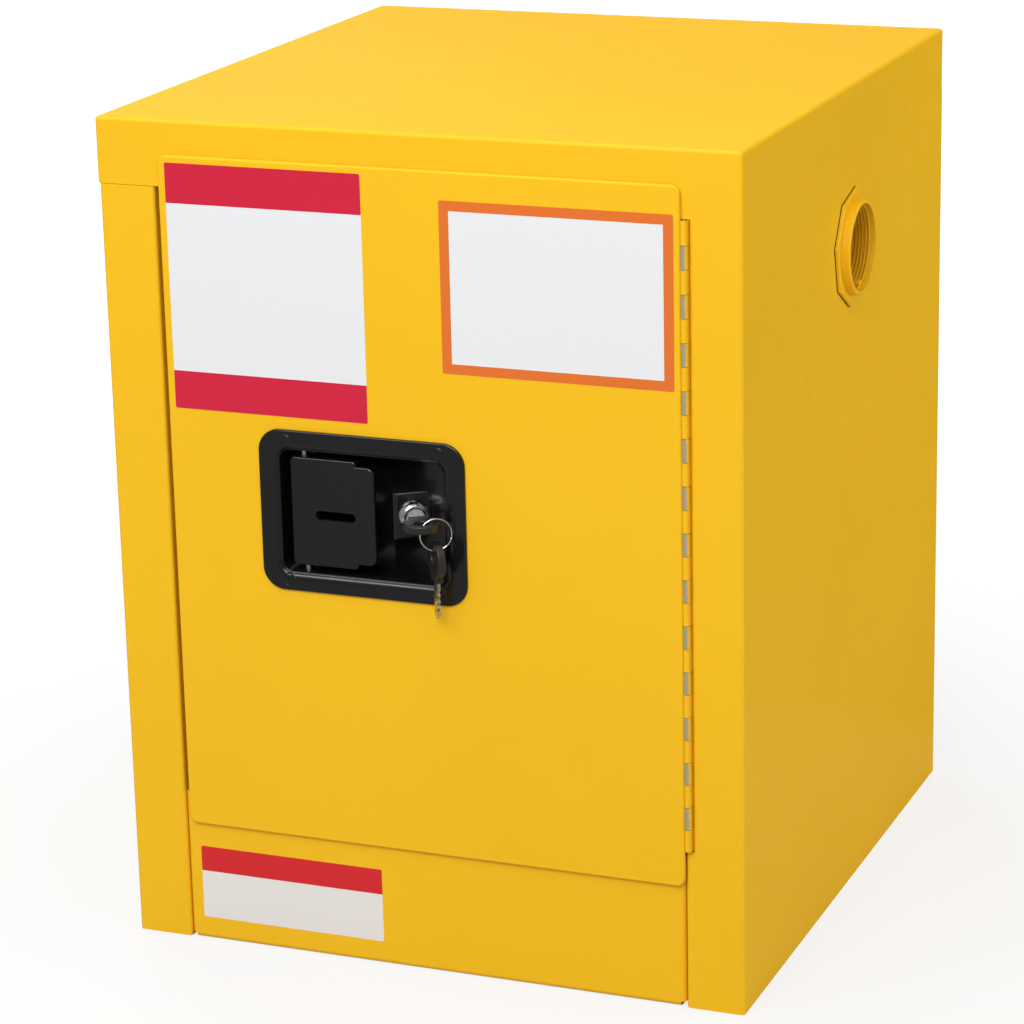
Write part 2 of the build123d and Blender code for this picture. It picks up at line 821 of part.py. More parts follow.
# Strike plate behind the left jamb
with BuildPart() as strike_plate:
    with BuildSketch(side_plane(left_edge - sheet)):
        with Locations(((bolt_front + bolt_back) / 2, dish_z)):
            Rectangle(strike_width, strike_height)
            Rectangle(
                bolt_thickness + 2 * strike_clear,
                bolt_height + 2 * strike_clear,
                mode=Mode.SUBTRACT,
            )
    extrude(amount=-strike_thickness)
finish(strike_plate, "strike_plate")

# Lock: a cylinder with a bright bezel in the boss, the plug that turns in it, and its cam behind the dish
with BuildPart() as lock_cylinder:
    with BuildSketch(lock_plane):
        Circle(bezel_radius)
    extrude(amount=bezel_height)
    fillet(lock_cylinder.faces().sort_by(Axis(lock_centre, lock_out))[-1].edges(), bezel_edge)
    with BuildSketch(lock_plane):
        Circle(cylinder_radius)
    extrude(amount=-cylinder_length)
    with BuildSketch(lock_plane.offset(bezel_height + overrun)):
        Circle(plug_radius + running_clearance)
    extrude(amount=-(bezel_height + cylinder_length + 2 * overrun), mode=Mode.SUBTRACT)
finish(lock_cylinder, "lock_cylinder")

plug_back = -cylinder_length + seat_clear
cam_front = -cylinder_length - tail_length + cam_thickness
with BuildPart() as lock_plug:
    with BuildSketch(lock_plane.offset(plug_back)):
        Circle(plug_radius)
    extrude(amount=bezel_height - plug_recess - plug_back)
    with BuildSketch(lock_plane.offset(plug_back)):
        Circle(tail_radius)
    extrude(amount=-(tail_length + seat_clear))
    with BuildSketch(lock_plane.offset(bezel_height - plug_recess)):
        Rectangle(blade_width + 2 * keyway_clear, blade_thickness + 2 * keyway_clear)
    extrude(amount=-(blade_length + keyway_clear), mode=Mode.SUBTRACT)
finish(lock_plug, "lock_plug")

with BuildPart() as lock_cam:
    with BuildSketch(lock_plane.offset(cam_front)):
        Circle(cam_radius)
        span((0, -cam_width / 2), (cam_reach, cam_width / 2))
        Circle(tail_radius + seat_clear, mode=Mode.SUBTRACT)
    extrude(amount=-cam_thickness)
finish(lock_cam, "lock_cam")

with BuildPart() as cam_screw:
    with BuildSketch(lock_plane.offset(cam_front - cam_thickness)):
        Circle(cam_screw_radius)
    extrude(amount=-cam_screw_height)
    fillet(cam_screw.faces().sort_by(Axis(lock_centre, lock_out))[0].edges(), cam_screw_height / 2)
finish(cam_screw, "cam_screw")


def key_blade(plane):
    """Builds a cut blade along the plane's x axis, its shoulder at the origin."""
    with BuildSketch(plane.offset(-blade_thickness / 2)) as outline:
        with BuildLine() as edge:
            Polyline(
                (blade_shoulder, -blade_width / 2),
                (blade_shoulder, blade_width / 2),
                (-blade_length + blade_width / 2, blade_width / 2),
                (-blade_length, 0),
                (-blade_length + blade_width / 2, -blade_width / 2),
                close=True,
            )
        make_face(edge.edges())
        for i in range(bitting_count):
            with Locations((-bitting_pitch * (i + 1), blade_width / 2)):
                Rectangle(2 * bitting_depth, 2 * bitting_depth, rotation=bitting_turn, mode=Mode.SUBTRACT)
    extrude(outline.sketch, amount=blade_thickness)


# Moulded head of a key beyond its shoulder, with a round hole for the ring, set on both keys
with BuildPart() as moulded_bow:
    with BuildSketch(Plane.XY.offset(-bow_thickness / 2)):
        with Locations((bow_centre, 0)):
            Circle(bow_radius)
        span((blade_shoulder, -bow_neck / 2), (bow_centre, bow_neck / 2))
        with Locations((bow_hole_x, 0)):
            Circle(bow_hole, mode=Mode.SUBTRACT)
    extrude(amount=bow_thickness)
    fillet(moulded_bow.faces().filter_by(Axis.Z).edges(), bow_edge)

with BuildPart() as key_blade_in_lock:
    key_blade(key_plane)
finish(key_blade_in_lock, "key_blade")

with BuildPart() as key_bow_in_lock:
    add(moulded_bow.part.moved(key_plane.location))
finish(key_bow_in_lock, "key_bow")

with BuildPart(ring_plane) as key_ring:
    Torus(ring_radius, ring_wire)
finish(key_ring, "key_ring")

with BuildPart() as spare_key_blade:
    key_blade(spare_plane)
finish(spare_key_blade, "spare_key_blade")

with BuildPart() as spare_key_bow:
    add(moulded_bow.part.moved(spare_plane.location))
finish(spare_key_bow, "spare_key_bow")

# Vents: a bung with an eight-sided flange and a sleeve through the double wall, a ring and a flame screen
right_vent = Plane(origin=(right_x, vent_y, vent_z), x_dir=(0, 1, 0), z_dir=(1, 0, 0))
left_vent = Plane(origin=(left_outer, vent_y, vent_low_z), x_dir=(0, -1, 0), z_dir=(-1, 0, 0))
right_wall = right_x - right_edge
left_wall = left_edge - left_outer


def vent_bung(plane, wall):
    """Builds a bung on the outer sheet, its sleeve reaching through a wall of the given thickness."""
    with BuildSketch(plane) as flange:
        RegularPolygon(vent_flange_radius, vent_flange_sides, rotation=vent_flange_turn)
    extrude(flange.sketch, amount=vent_flange)
    fillet(faces().sort_by(Axis(plane.origin, plane.z_dir))[-1].edges(), vent_flange_edge)
    with BuildSketch(plane) as neck:
        Circle(vent_neck_radius)
    extrude(neck.sketch, amount=vent_flange + vent_neck)
    extrude(neck.sketch, amount=-(wall + vent_tail))


def vent_hole(plane, wall):
    """Bores a bung from its mouth to the end of its sleeve."""
    mouth = vent_flange + vent_neck + overrun
    with BuildSketch(plane.offset(mouth)) as bore:
        Circle(vent_bore)
    extrude(bore.sketch, amount=-(mouth + wall + vent_tail + overrun), mode=Mode.SUBTRACT)


with BuildPart() as vent_bung_right:
    vent_bung(right_vent, right_wall)
    fillet(vent_bung_right.faces().sort_by(Axis.X)[-1].edges(), vent_lip)
    vent_hole(right_vent, right_wall)
finish(vent_bung_right, "vent_bung_right")

with BuildPart() as vent_bung_left:
    vent_bung(left_vent, left_wall)
    fillet(vent_bung_left.faces().sort_by(Axis.X)[0].edges(), vent_lip)
    vent_hole(left_vent, left_wall)
finish(vent_bung_left, "vent_bung_left")

with BuildPart() as vent_rings:
    with BuildSketch(right_vent.offset(-right_wall), left_vent.offset(-left_wall)):
        Circle(vent_ring_radius)
        Circle(vent_neck_radius + vent_clear, mode=Mode.SUBTRACT)
    extrude(amount=-vent_ring)
finish(vent_rings, "vent_rings")

with BuildPart() as flame_screens:
    with BuildSketch(right_vent.offset(-right_wall - vent_tail), left_vent.offset(-left_wall - vent_tail)):
        Circle(vent_neck_radius)
        with HexLocations(screen_pitch / 2, 2 * screen_rings + 1, 2 * screen_rings + 1):
            Circle(screen_hole, mode=Mode.SUBTRACT)
    extrude(amount=-screen_thickness)
finish(flame_screens, "flame_screens")

# Shelf with folded edges, on clips in four slotted standards
shelf_left = left_edge + standard_depth + shelf_side_gap
shelf_right = right_edge - standard_depth - shelf_side_gap
shelf_front = jamb_back + shelf_front_gap
shelf_back = liner_back - shelf_back_gap
with BuildPart() as shelf:
    with BuildSketch(Plane.XY.offset(shelf_z - shelf_edge)):
        span((shelf_left, shelf_front), (shelf_right, shelf_back))
    extrude(amount=shelf_edge)
    fillet(shelf.edges().group_by(Axis.Z)[-1], bend)
    offset(amount=-sheet, openings=shelf.faces().sort_by(Axis.Z)[0])
finish(shelf, "shelf")

standard_ys = (jamb_back + standard_inset, liner_back - standard_inset)
standard_bottom = sill_height + standard_foot
standard_top = opening_top - standard_top_gap
rung_count = int((standard_top - standard_bottom) / rung_pitch)
rung_first = standard_bottom + rung_pitch / 2
with BuildPart() as shelf_standards:
    with BuildSketch(side_plane(left_edge), side_plane(right_edge - standard_depth)):
        for y in standard_ys:
            span((y - standard_width / 2, standard_bottom), (y + standard_width / 2, standard_top))
    extrude(amount=standard_depth)
    with BuildSketch(side_plane(left_edge - overrun)):
        for y in standard_ys:
            for i in range(rung_count):
                with Locations((y, rung_first + rung_pitch * i)):
                    Rectangle(rung_width, rung_height)
    extrude(amount=right_edge - left_edge + 2 * overrun, mode=Mode.SUBTRACT)
finish(shelf_standards, "shelf_standards")

# Clips: each hooks into a slot just under the shelf and carries its folded edge on a ledge
clip_top = shelf_z - shelf_edge
with BuildPart() as shelf_clips:
    with BuildSketch(*[Plane.XZ.offset(-y - clip_width / 2) for y in standard_ys]):
        for side in (1, -1):
            face_x = left_edge + standard_depth if side > 0 else right_edge - standard_depth
            low_x = min(face_x, face_x + side * clip_ledge)
            span((low_x, clip_top - clip_sheet), (low_x + clip_ledge, clip_top))
            low_x = min(face_x, face_x + side * clip_sheet)
            span((low_x, clip_top - clip_height), (low_x + clip_sheet, clip_top))
    extrude(amount=clip_width)
finish(shelf_clips, "shelf_clips")

# Earthing stud through the back panel: a shank under the washer and nut outside, and a free end
with BuildPart() as earth_stud:
    with BuildSketch(front_plane(rear_outer - sheet)):
        with Locations((earth_x, earth_z)):
            Circle(earth_head_radius)
    extrude(amount=earth_head)
    with BuildSketch(front_plane(rear_outer - sheet)):
        with Locations((earth_x, earth_z)):
            Circle(earth_radius)
    extrude(amount=-earth_length)
    with BuildSketch(front_plane(rear_outer - sheet)):
        with Locations((earth_x, earth_z)):
            Circle(earth_shank)
    extrude(amount=-(sheet + earth_washer + earth_nut + earth_shoulder))
finish(earth_stud, "earth_stud")

with BuildPart() as earth_washer_plate:
    with BuildSketch(front_plane(rear_outer)):
        with Locations((earth_x, earth_z)):
            Circle(earth_washer_radius)
            Circle(earth_shank + seat_clear, mode=Mode.SUBTRACT)
    extrude(amount=-earth_washer)
finish(earth_washer_plate, "earth_washer")

with BuildPart() as earth_lock_nut:
    with BuildSketch(front_plane(rear_outer + earth_washer)):
        with Locations((earth_x, earth_z)):
            RegularPolygon(earth_nut_across / 2, nut_sides, major_radius=False)
            Circle(earth_shank + seat_clear, mode=Mode.SUBTRACT)
    extrude(amount=-earth_nut)
finish(earth_lock_nut, "earth_nut")
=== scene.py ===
"""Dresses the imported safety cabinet: painted sheet steel, latch, lock, keys, vents and blank stickers."""

import logging
import math
from dataclasses import dataclass, field, replace
from enum import Enum
from typing import Optional, Sequence

import bmesh
import bpy
from mathutils import Matrix, Vector


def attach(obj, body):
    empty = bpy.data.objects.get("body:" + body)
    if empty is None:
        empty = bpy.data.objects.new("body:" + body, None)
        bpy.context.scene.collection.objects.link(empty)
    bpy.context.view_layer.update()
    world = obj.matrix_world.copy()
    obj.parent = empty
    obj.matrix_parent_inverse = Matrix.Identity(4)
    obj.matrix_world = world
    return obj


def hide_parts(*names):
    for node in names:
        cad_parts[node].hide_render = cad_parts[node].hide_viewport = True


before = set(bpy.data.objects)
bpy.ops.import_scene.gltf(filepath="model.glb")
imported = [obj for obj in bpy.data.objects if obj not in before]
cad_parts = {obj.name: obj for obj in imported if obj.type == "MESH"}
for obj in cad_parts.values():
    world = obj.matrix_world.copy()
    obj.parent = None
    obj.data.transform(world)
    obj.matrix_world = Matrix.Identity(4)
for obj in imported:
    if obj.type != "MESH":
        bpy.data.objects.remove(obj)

MM = 0.001
SAME_SPOT = 1e-7  # corners of a mesh nearer than this many metres are one
LOG = logging.getLogger("cabinet")
Colour = tuple[float, float, float, float]
WHITE: Colour = (1.0, 1.0, 1.0, 1.0)
LOCK_TILT = math.radians(35.0)
LOCK_AXIS = Vector((math.sin(LOCK_TILT), -math.cos(LOCK_TILT), 0.0))


class Slot(Enum):
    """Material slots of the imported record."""

    PAINT = "cabinet_paint"
    BLACK = "latch_black"
    CHROME = "lock_chrome"


class Octaves(Enum):
    """Number of octaves in a noise."""

    ONE = 1.0
    TWO = 2.0
    THREE = 3.0
    FOUR = 4.0


class Board:
    """The node board of one material, with short calls that add and join nodes."""

    def __init__(self, name: str) -> None:
        """Starts an empty board for a new material.

        Args:
            name: Name of the material.
        """
        self.material = bpy.data.materials.new(name)
        self.material.use_nodes = True
        self.tree = self.material.node_tree
        self.tree.nodes.clear()
        self.output = self.add("ShaderNodeOutputMaterial")
        self.spot = self.add("ShaderNodeTexCoord").outputs["Object"]

    def add(self, kind: str, inputs: Optional[dict] = None, **settings: object) -> bpy.types.Node:
        """Adds a node.

        Args:
            kind: Blender's name of the node type.
            inputs: Values or sockets for the node's inputs, by name or number.
            settings: Properties of the node.

        Returns:
            The new node.
        """
        node = self.tree.nodes.new(kind)
        for key, value in settings.items():
            setattr(node, key, value)
        for key, value in (inputs or {}).items():
            if isinstance(value, bpy.types.NodeSocket):
                self.tree.links.new(value, node.inputs[key])
            else:
                node.inputs[key].default_value = value
        return node

    def stretch(self, scale: Sequence[float]) -> bpy.types.NodeSocket:
        """Returns the object's coordinates stretched by a scale along each axis."""
        return self.add("ShaderNodeMapping", {"Vector": self.spot, "Scale": tuple(scale)}).outputs[0]

    def noise(
        self,
        scale: float,
        detail: Octaves = Octaves.TWO,
        where: Optional[bpy.types.NodeSocket] = None,
    ) -> bpy.types.NodeSocket:
        """Adds a noise.

        Args:
            scale: Noise cells per metre.
            detail: Octaves of finer noise.
            where: Coordinates, the object's own if left out.

        Returns:
            The noise's value.
        """
        inputs = {"Vector": where or self.spot, "Scale": scale, "Detail": detail.value}
        return self.add("ShaderNodeTexNoise", inputs).outputs[0]

    def sums(self, operation: str, first: object, second: object = 0.0) -> bpy.types.NodeSocket:
        """Returns the result of one sum on two values or sockets."""
        return self.add("ShaderNodeMath", {0: first, 1: second}, operation=operation).outputs[0]

    def axes(self) -> bpy.types.NodeOutputs:
        """Returns the object's three coordinates."""
        return self.add("ShaderNodeSeparateXYZ", {0: self.spot}).outputs

    def length(self, way: bpy.types.NodeSocket) -> bpy.types.NodeSocket:
        """Returns the length of a vector."""
        return self.add("ShaderNodeVectorMath", {0: way}, operation="LENGTH").outputs["Value"]

    def reach(self, across: bpy.types.NodeSocket, above: bpy.types.NodeSocket) -> bpy.types.NodeSocket:
        """Returns how far a place is from a point, from its distances across and above."""
        return self.length(self.add("ShaderNodeCombineXYZ", {0: across, 2: above}).outputs[0])

    def ramp(
        self, value: bpy.types.NodeSocket, low: float, high: float, start: float = 0.3, end: float = 0.7
    ) -> bpy.types.NodeSocket:
        """Maps a value to a range.

        Args:
            value: The value to map.
            low: Result where the value is at start or before it.
            high: Result where the value is at end or past it.
            start: Start of the value's range.
            end: End of the value's range.

        Returns:
            The mapped value.
        """
        inputs = {0: value, 1: start, 2: end, 3: low, 4: high}
        return self.add("ShaderNodeMapRange", inputs, clamp=True).outputs[0]

    def tint(self, factor: bpy.types.NodeSocket, first: object, second: object) -> bpy.types.NodeSocket:
        """Returns a blend of two colours or colour sockets by a factor."""
        inputs = {0: factor, 6: first, 7: second}
        return self.add("ShaderNodeMix", inputs, data_type="RGBA").outputs[2]

    def relief(
        self,
        height: bpy.types.NodeSocket,
        depth: float,
        strength: float = 1.0,
        below: Optional[bpy.types.NodeSocket] = None,
    ) -> bpy.types.NodeSocket:
        """Adds a bump.

        Args:
            height: Height from 0 to 1.
            depth: Depth of the relief in metres.
            strength: Share of the relief that shows.
            below: Normal of a relief under this one.

        Returns:
            The normal.
        """
        inputs: dict = {"Height": height, "Distance": depth, "Strength": strength}
        if below is not None:
            inputs["Normal"] = below
        return self.add("ShaderNodeBump", inputs).outputs[0]

    def surface(self, **inputs: object) -> bpy.types.Material:
        """Closes the board with a surface shader.

        Args:
            inputs: Values or sockets of the shader, with _ for a space in a socket's name.

        Returns:
            The finished material.
        """
        named = {key.replace("_", " "): value for key, value in inputs.items()}
        return self.close(self.add("ShaderNodeBsdfPrincipled", named))

    def close(self, shader: bpy.types.Node) -> bpy.types.Material:
        """Joins the last shader to the output and returns the finished material."""
        self.tree.links.new(shader.outputs[0], self.output.inputs[0])
        return self.material


class Finish:
    """A finish that makes its material once and hands out the same one afterwards."""

    name: str

    def material(self) -> bpy.types.Material:
        """Returns the finish's material."""
        return bpy.data.materials.get(self.name) or self.mix()

    def mix(self) -> bpy.types.Material:
        """Makes the material."""
        raise NotImplementedError


@dataclass(frozen=True)
class PowderCoat(Finish):
    """Baked powder paint with the faint orange peel of a sprayed coat."""

    name: str
    light: Colour
    deep: Colour
    roughness: float = 0.48
    peel: float = 420.0
    peel_depth: float = 0.00005
    gloss: float = 0.24
    peel_share: float = 0.5
    drift: float = 5.0
    fleck: float = 2600.0
    fleck_share: float = 0.12
    fleck_range: tuple[float, float] = (0.52, 0.8)
    cloud: float = 60.0
    smoother: float = 0.03
    rougher: float = 0.04

    def coat(self, board: Board) -> dict:
        """Returns the shader's colour, roughness and normal for the coat.

        Args:
            board: The board that takes the nodes.

        Returns:
            Sockets by input name.
        """
        drift = board.ramp(board.noise(self.drift, Octaves.THREE), 0.0, 1.0)
        fleck = board.ramp(board.noise(self.fleck, Octaves.ONE), 0.0, self.fleck_share, *self.fleck_range)
        colour = board.tint(board.sums("ADD", drift, fleck), self.light, self.deep)
        cloud = board.noise(self.cloud, Octaves.THREE)
        rough = board.ramp(cloud, self.roughness - self.smoother, self.roughness + self.rougher)
        normal = board.relief(board.noise(self.peel, Octaves.TWO), self.peel_depth, self.peel_share)
        return {"Base_Color": colour, "Roughness": rough, "Normal": normal, "Specular_IOR_Level": self.gloss}

    def mix(self) -> bpy.types.Material:
        """Makes the material."""
        board = Board(self.name)
        return board.surface(**self.coat(board))


@dataclass(frozen=True)
class StampedCoat(PowderCoat):
    """Powder paint over a pressed plate, with the rolled lip of its mouth and the marks of four studs."""

    centre_x: float = -37.0 * MM
    centre_z: float = 310.0 * MM
    half_x: float = 52.75 * MM
    half_z: float = 46.25 * MM
    mark: float = 4.2 * MM
    mark_depth: float = 0.3 * MM
    mark_share: float = 0.9
    line: float = 0.55 * MM
    mouth_x: float = 48.5 * MM
    mouth_z: float = 32.5 * MM
    roll_start: float = 9.4 * MM
    roll_end: float = 14.2 * MM
    roll_depth: float = 2.1 * MM

    def mix(self) -> bpy.types.Material:
        """Makes the material."""
        board = Board(self.name)
        parts = self.coat(board)
        axes = board.axes()
        across = board.sums("ABSOLUTE", board.sums("SUBTRACT", axes[0], self.centre_x))
        above = board.sums("ABSOLUTE", board.sums("SUBTRACT", axes[2], self.centre_z))
        past_x = board.sums("MAXIMUM", board.sums("SUBTRACT", across, self.mouth_x), 0.0)
        past_z = board.sums("MAXIMUM", board.sums("SUBTRACT", above, self.mouth_z), 0.0)
        left = board.ramp(board.reach(past_x, past_z), 1.0, 0.0, self.roll_start, self.roll_end)
        roll = board.sums("SUBTRACT", 1.0, board.sums("MULTIPLY", left, left))
        lip = board.relief(roll, self.roll_depth, 1.0, parts["Normal"])
        off_x = board.sums("SUBTRACT", across, self.half_x)
        off_z = board.sums("SUBTRACT", above, self.half_z)
        edge = board.sums("ABSOLUTE", board.sums("SUBTRACT", board.reach(off_x, off_z), self.mark))
        ring = board.ramp(edge, 1.0, 0.0, 0.0, self.line)
        parts["Normal"] = board.relief(ring, self.mark_depth, self.mark_share, lip)
        return board.surface(**parts)


@dataclass(frozen=True)
class WeldedCoat(PowderCoat):
    """Powder paint over shallow spot welds in upright rows."""

    row_x: float = 205.0 * MM
    pitch: float = 62.0 * MM
    weld: float = 3.0 * MM
    weld_depth: float = 0.3 * MM
    weld_share: float = 0.6

    def mix(self) -> bpy.types.Material:
        """Makes the material."""
        board = Board(self.name)
        parts = self.coat(board)
        axes = board.axes()
        across = board.sums("SUBTRACT", board.sums("ABSOLUTE", axes[0]), self.row_x)
        step = board.sums("MODULO", board.sums("ADD", axes[2], self.pitch), self.pitch)
        above = board.sums("SUBTRACT", step, self.pitch / 2)
        dimple = board.ramp(board.reach(across, above), 0.0, 1.0, self.weld / 2, self.weld)
        parts["Normal"] = board.relief(dimple, self.weld_depth, self.weld_share, parts["Normal"])
        return board.surface(**parts)


@dataclass(frozen=True)
class PlatedSteel(Finish):
    """Zinc-plated steel with a fine spangle."""

    name: str
    light: Colour = (0.62, 0.64, 0.66, 1.0)
    dull: Colour = (0.44, 0.46, 0.47, 1.0)
    spangle: float = 260.0
    spangle_share: float = 0.7
    cloud: float = 24.0
    cloud_share: float = 0.5
    smoothest: float = 0.3
    roughest: float = 0.46
    grit: float = 1400.0
    grit_depth: float = 0.00003
    grit_share: float = 0.4

    def mix(self) -> bpy.types.Material:
        """Makes the material."""
        board = Board(self.name)
        cells = board.add("ShaderNodeTexVoronoi", {"Vector": board.spot, "Scale": self.spangle})
        shade = board.sums("MULTIPLY", cells.outputs["Color"], self.spangle_share)
        cloud = board.ramp(board.noise(self.cloud, Octaves.FOUR), 0.0, self.cloud_share)
        colour = board.tint(board.sums("ADD", shade, cloud), self.light, self.dull)
        rough = board.ramp(cells.outputs["Color"], self.smoothest, self.roughest, 0.0, 1.0)
        normal = board.relief(board.noise(self.grit, Octaves.TWO), self.grit_depth, self.grit_share)
        return board.surface(Base_Color=colour, Metallic=1.0, Roughness=rough, Normal=normal)


@dataclass(frozen=True)
class DrawnSteel(Finish):
    """Bright steel with fine upright lines from drawing, as the base of other finishes."""

    name: str
    light: Colour
    dull: Colour
    smoothest: float
    roughest: float
    grain: tuple[float, float, float] = (900.0, 900.0, 6.0)
    line_depth: float = 0.00003
    line_share: float = 0.5

    def lines(self, board: Board) -> bpy.types.NodeSocket:
        """Returns the noise of the lines."""
        return board.noise(1.0, Octaves.THREE, board.stretch(self.grain))

    def skin(self, board: Board, lines: bpy.types.NodeSocket) -> dict:
        """Returns the shader's roughness and normal for the lines, by input name."""
        rough = board.ramp(lines, self.smoothest, self.roughest)
        return {"Roughness": rough, "Normal": board.relief(lines, self.line_depth, self.line_share)}


@dataclass(frozen=True)
class BrushedSteel(DrawnSteel):
    """Bright drawn steel with some stains."""

    stain: float = 90.0
    stain_share: float = 0.6

    def mix(self) -> bpy.types.Material:
        """Makes the material."""
        board = Board(self.name)
        lines = self.lines(board)
        stain = board.ramp(board.noise(self.stain, Octaves.FOUR), 0.0, self.stain_share)
        colour = board.tint(board.sums("MULTIPLY", lines, stain), self.light, self.dull)
        return board.surface(Base_Color=colour, Metallic=1.0, **self.skin(board, lines))


@dataclass(frozen=True)
class OversprayedSteel(DrawnSteel):
    """Drawn steel knuckles that caught some paint on the side facing the door frame."""

    paint: Colour = (0.935, 0.528, 0.01, 1.0)
    edge: float = 181.0 * MM
    fade: float = 1.1 * MM
    drift: float = 300.0
    bare_metal: float = 0.45

    def mix(self) -> bpy.types.Material:
        """Makes the material."""
        board = Board(self.name)
        lines = self.lines(board)
        metal = board.tint(lines, self.light, self.dull)
        drift = board.sums("MULTIPLY", board.noise(self.drift, Octaves.THREE), self.fade)
        across = board.sums("ADD", board.axes()[0], drift)
        spray = board.ramp(across, 0.0, 1.0, self.edge, self.edge + self.fade)
        colour = board.tint(spray, metal, self.paint)
        bare = board.ramp(spray, self.bare_metal, 0.0, 0.0, 1.0)
        return board.surface(Base_Color=colour, Metallic=bare, **self.skin(board, lines))


@dataclass(frozen=True)
class ThreadedSteel(Finish):
    """Plated steel rod with a rolled thread round the Y axis, darker in the thread's roots as painted shade.
    """

    name: str
    # The root colour is painted shade in the thread's grooves; the crest colour is the plate's own.
    root: Colour = (0.26, 0.25, 0.23, 1.0)
    crest: Colour = (0.68, 0.66, 0.6, 1.0)
    pitch: float = 1.0 * MM
    depth: float = 0.5 * MM
    cloud: float = 700.0
    smoothest: float = 0.3
    roughest: float = 0.42

    def mix(self) -> bpy.types.Material:
        """Makes the material."""
        board = Board(self.name)
        turns = board.sums("PINGPONG", board.axes()[1], self.pitch / 2)
        ridge = board.ramp(turns, 0.0, 1.0, 0.0, self.pitch / 2)
        # Colour runs from painted shade in the roots to the plate's own colour on the crests.
        colour = board.tint(ridge, self.root, self.crest)
        rough = board.ramp(board.noise(self.cloud), self.smoothest, self.roughest)
        normal = board.relief(ridge, self.depth, 1.0)
        return board.surface(Base_Color=colour, Metallic=1.0, Roughness=rough, Normal=normal)


@dataclass(frozen=True)
class Mottled(Finish):
    """A fine-grained finish mottled between two colours by wear, smears or dust."""

    name: str
    light: Colour
    dull: Colour
    blotch: float
    smoothest: float
    roughest: float
    cloud: float
    grit: float
    metal: float = 0.0
    blotch_range: tuple[float, float] = (0.3, 0.7)
    grit_detail: Octaves = Octaves.TWO
    grit_depth: float = 0.00004
    grit_share: float = 0.5

    def mix(self) -> bpy.types.Material:
        """Makes the material."""
        board = Board(self.name)
        blotch = board.ramp(board.noise(self.blotch, Octaves.FOUR), 0.0, 1.0, *self.blotch_range)
        colour = board.tint(blotch, self.light, self.dull)
        rough = board.ramp(board.noise(self.cloud, Octaves.THREE), self.smoothest, self.roughest)
        normal = board.relief(board.noise(self.grit, self.grit_detail), self.grit_depth, self.grit_share)
        return board.surface(Base_Color=colour, Metallic=self.metal, Roughness=rough, Normal=normal)


@dataclass(frozen=True)
class WireCloth(Finish):
    """Woven steel wire of a flame screen, on a plane square to X, with the gaps between the wires painted
    near black as painted shade.
    """

    name: str
    # The gap colour is painted shade for the dark space seen through the holes.
    shaded_gap: Colour = (0.03, 0.03, 0.03, 1.0)
    wire: Colour = (0.42, 0.42, 0.4, 1.0)
    mesh: float = 1.1 * MM
    wire_start: float = 0.15
    depth: float = 0.3 * MM
    share: float = 0.9
    cloud: float = 600.0
    smoothest: float = 0.36
    roughest: float = 0.5

    def mix(self) -> bpy.types.Material:
        """Makes the material."""
        board = Board(self.name)
        axes = board.axes()
        across = board.sums("PINGPONG", axes[1], self.mesh / 2)
        above = board.sums("PINGPONG", axes[2], self.mesh / 2)
        nearest = board.sums("MAXIMUM", across, above)
        weave = board.ramp(nearest, 0.0, 1.0, self.mesh * self.wire_start, self.mesh / 2)
        # Painted shade in the gaps, the wire's own colour on the wires.
        colour = board.tint(weave, self.shaded_gap, self.wire)
        rough = board.ramp(board.noise(self.cloud), self.smoothest, self.roughest)
        normal = board.relief(weave, self.depth, self.share)
        return board.surface(Base_Color=colour, Metallic=1.0, Roughness=rough, Normal=normal)


@dataclass(frozen=True)
class PrintedVinyl(Finish):
    """Laminated vinyl with a printed colour round a pale ground."""

    name: str
    ground: Colour
    ink: Colour
    low_x: float
    high_x: float
    low_z: float
    high_z: float
    ground_dust: Colour = (0.55, 0.52, 0.5, 1.0)
    ink_dust: Colour = (0.2, 0.05, 0.04, 1.0)
    dust: float = 700.0
    dust_share: float = 0.02
    cloud: float = 90.0
    smoothest: float = 0.28
    roughest: float = 0.33
    ripple: float = 420.0
    ripple_depth: float = 0.000006
    ripple_share: float = 0.3
    gloss: float = 0.3

    def mix(self) -> bpy.types.Material:
        """Makes the material."""
        board = Board(self.name)
        axes = board.axes()
        inside = board.sums("GREATER_THAN", axes[0], self.low_x)
        inside = board.sums("MULTIPLY", inside, board.sums("LESS_THAN", axes[0], self.high_x))
        inside = board.sums("MULTIPLY", inside, board.sums("GREATER_THAN", axes[2], self.low_z))
        inside = board.sums("MULTIPLY", inside, board.sums("LESS_THAN", axes[2], self.high_z))
        dust = board.ramp(board.noise(self.dust, Octaves.TWO), 0.0, self.dust_share)
        ground_tone = board.tint(dust, self.ground, self.ground_dust)
        ink_tone = board.tint(dust, self.ink, self.ink_dust)
        colour = board.tint(inside, ink_tone, ground_tone)
        rough = board.ramp(board.noise(self.cloud, Octaves.THREE), self.smoothest, self.roughest)
        normal = board.relief(board.noise(self.ripple, Octaves.TWO), self.ripple_depth, self.ripple_share)
        return board.surface(Base_Color=colour, Roughness=rough, Normal=normal, Specular_IOR_Level=self.gloss)


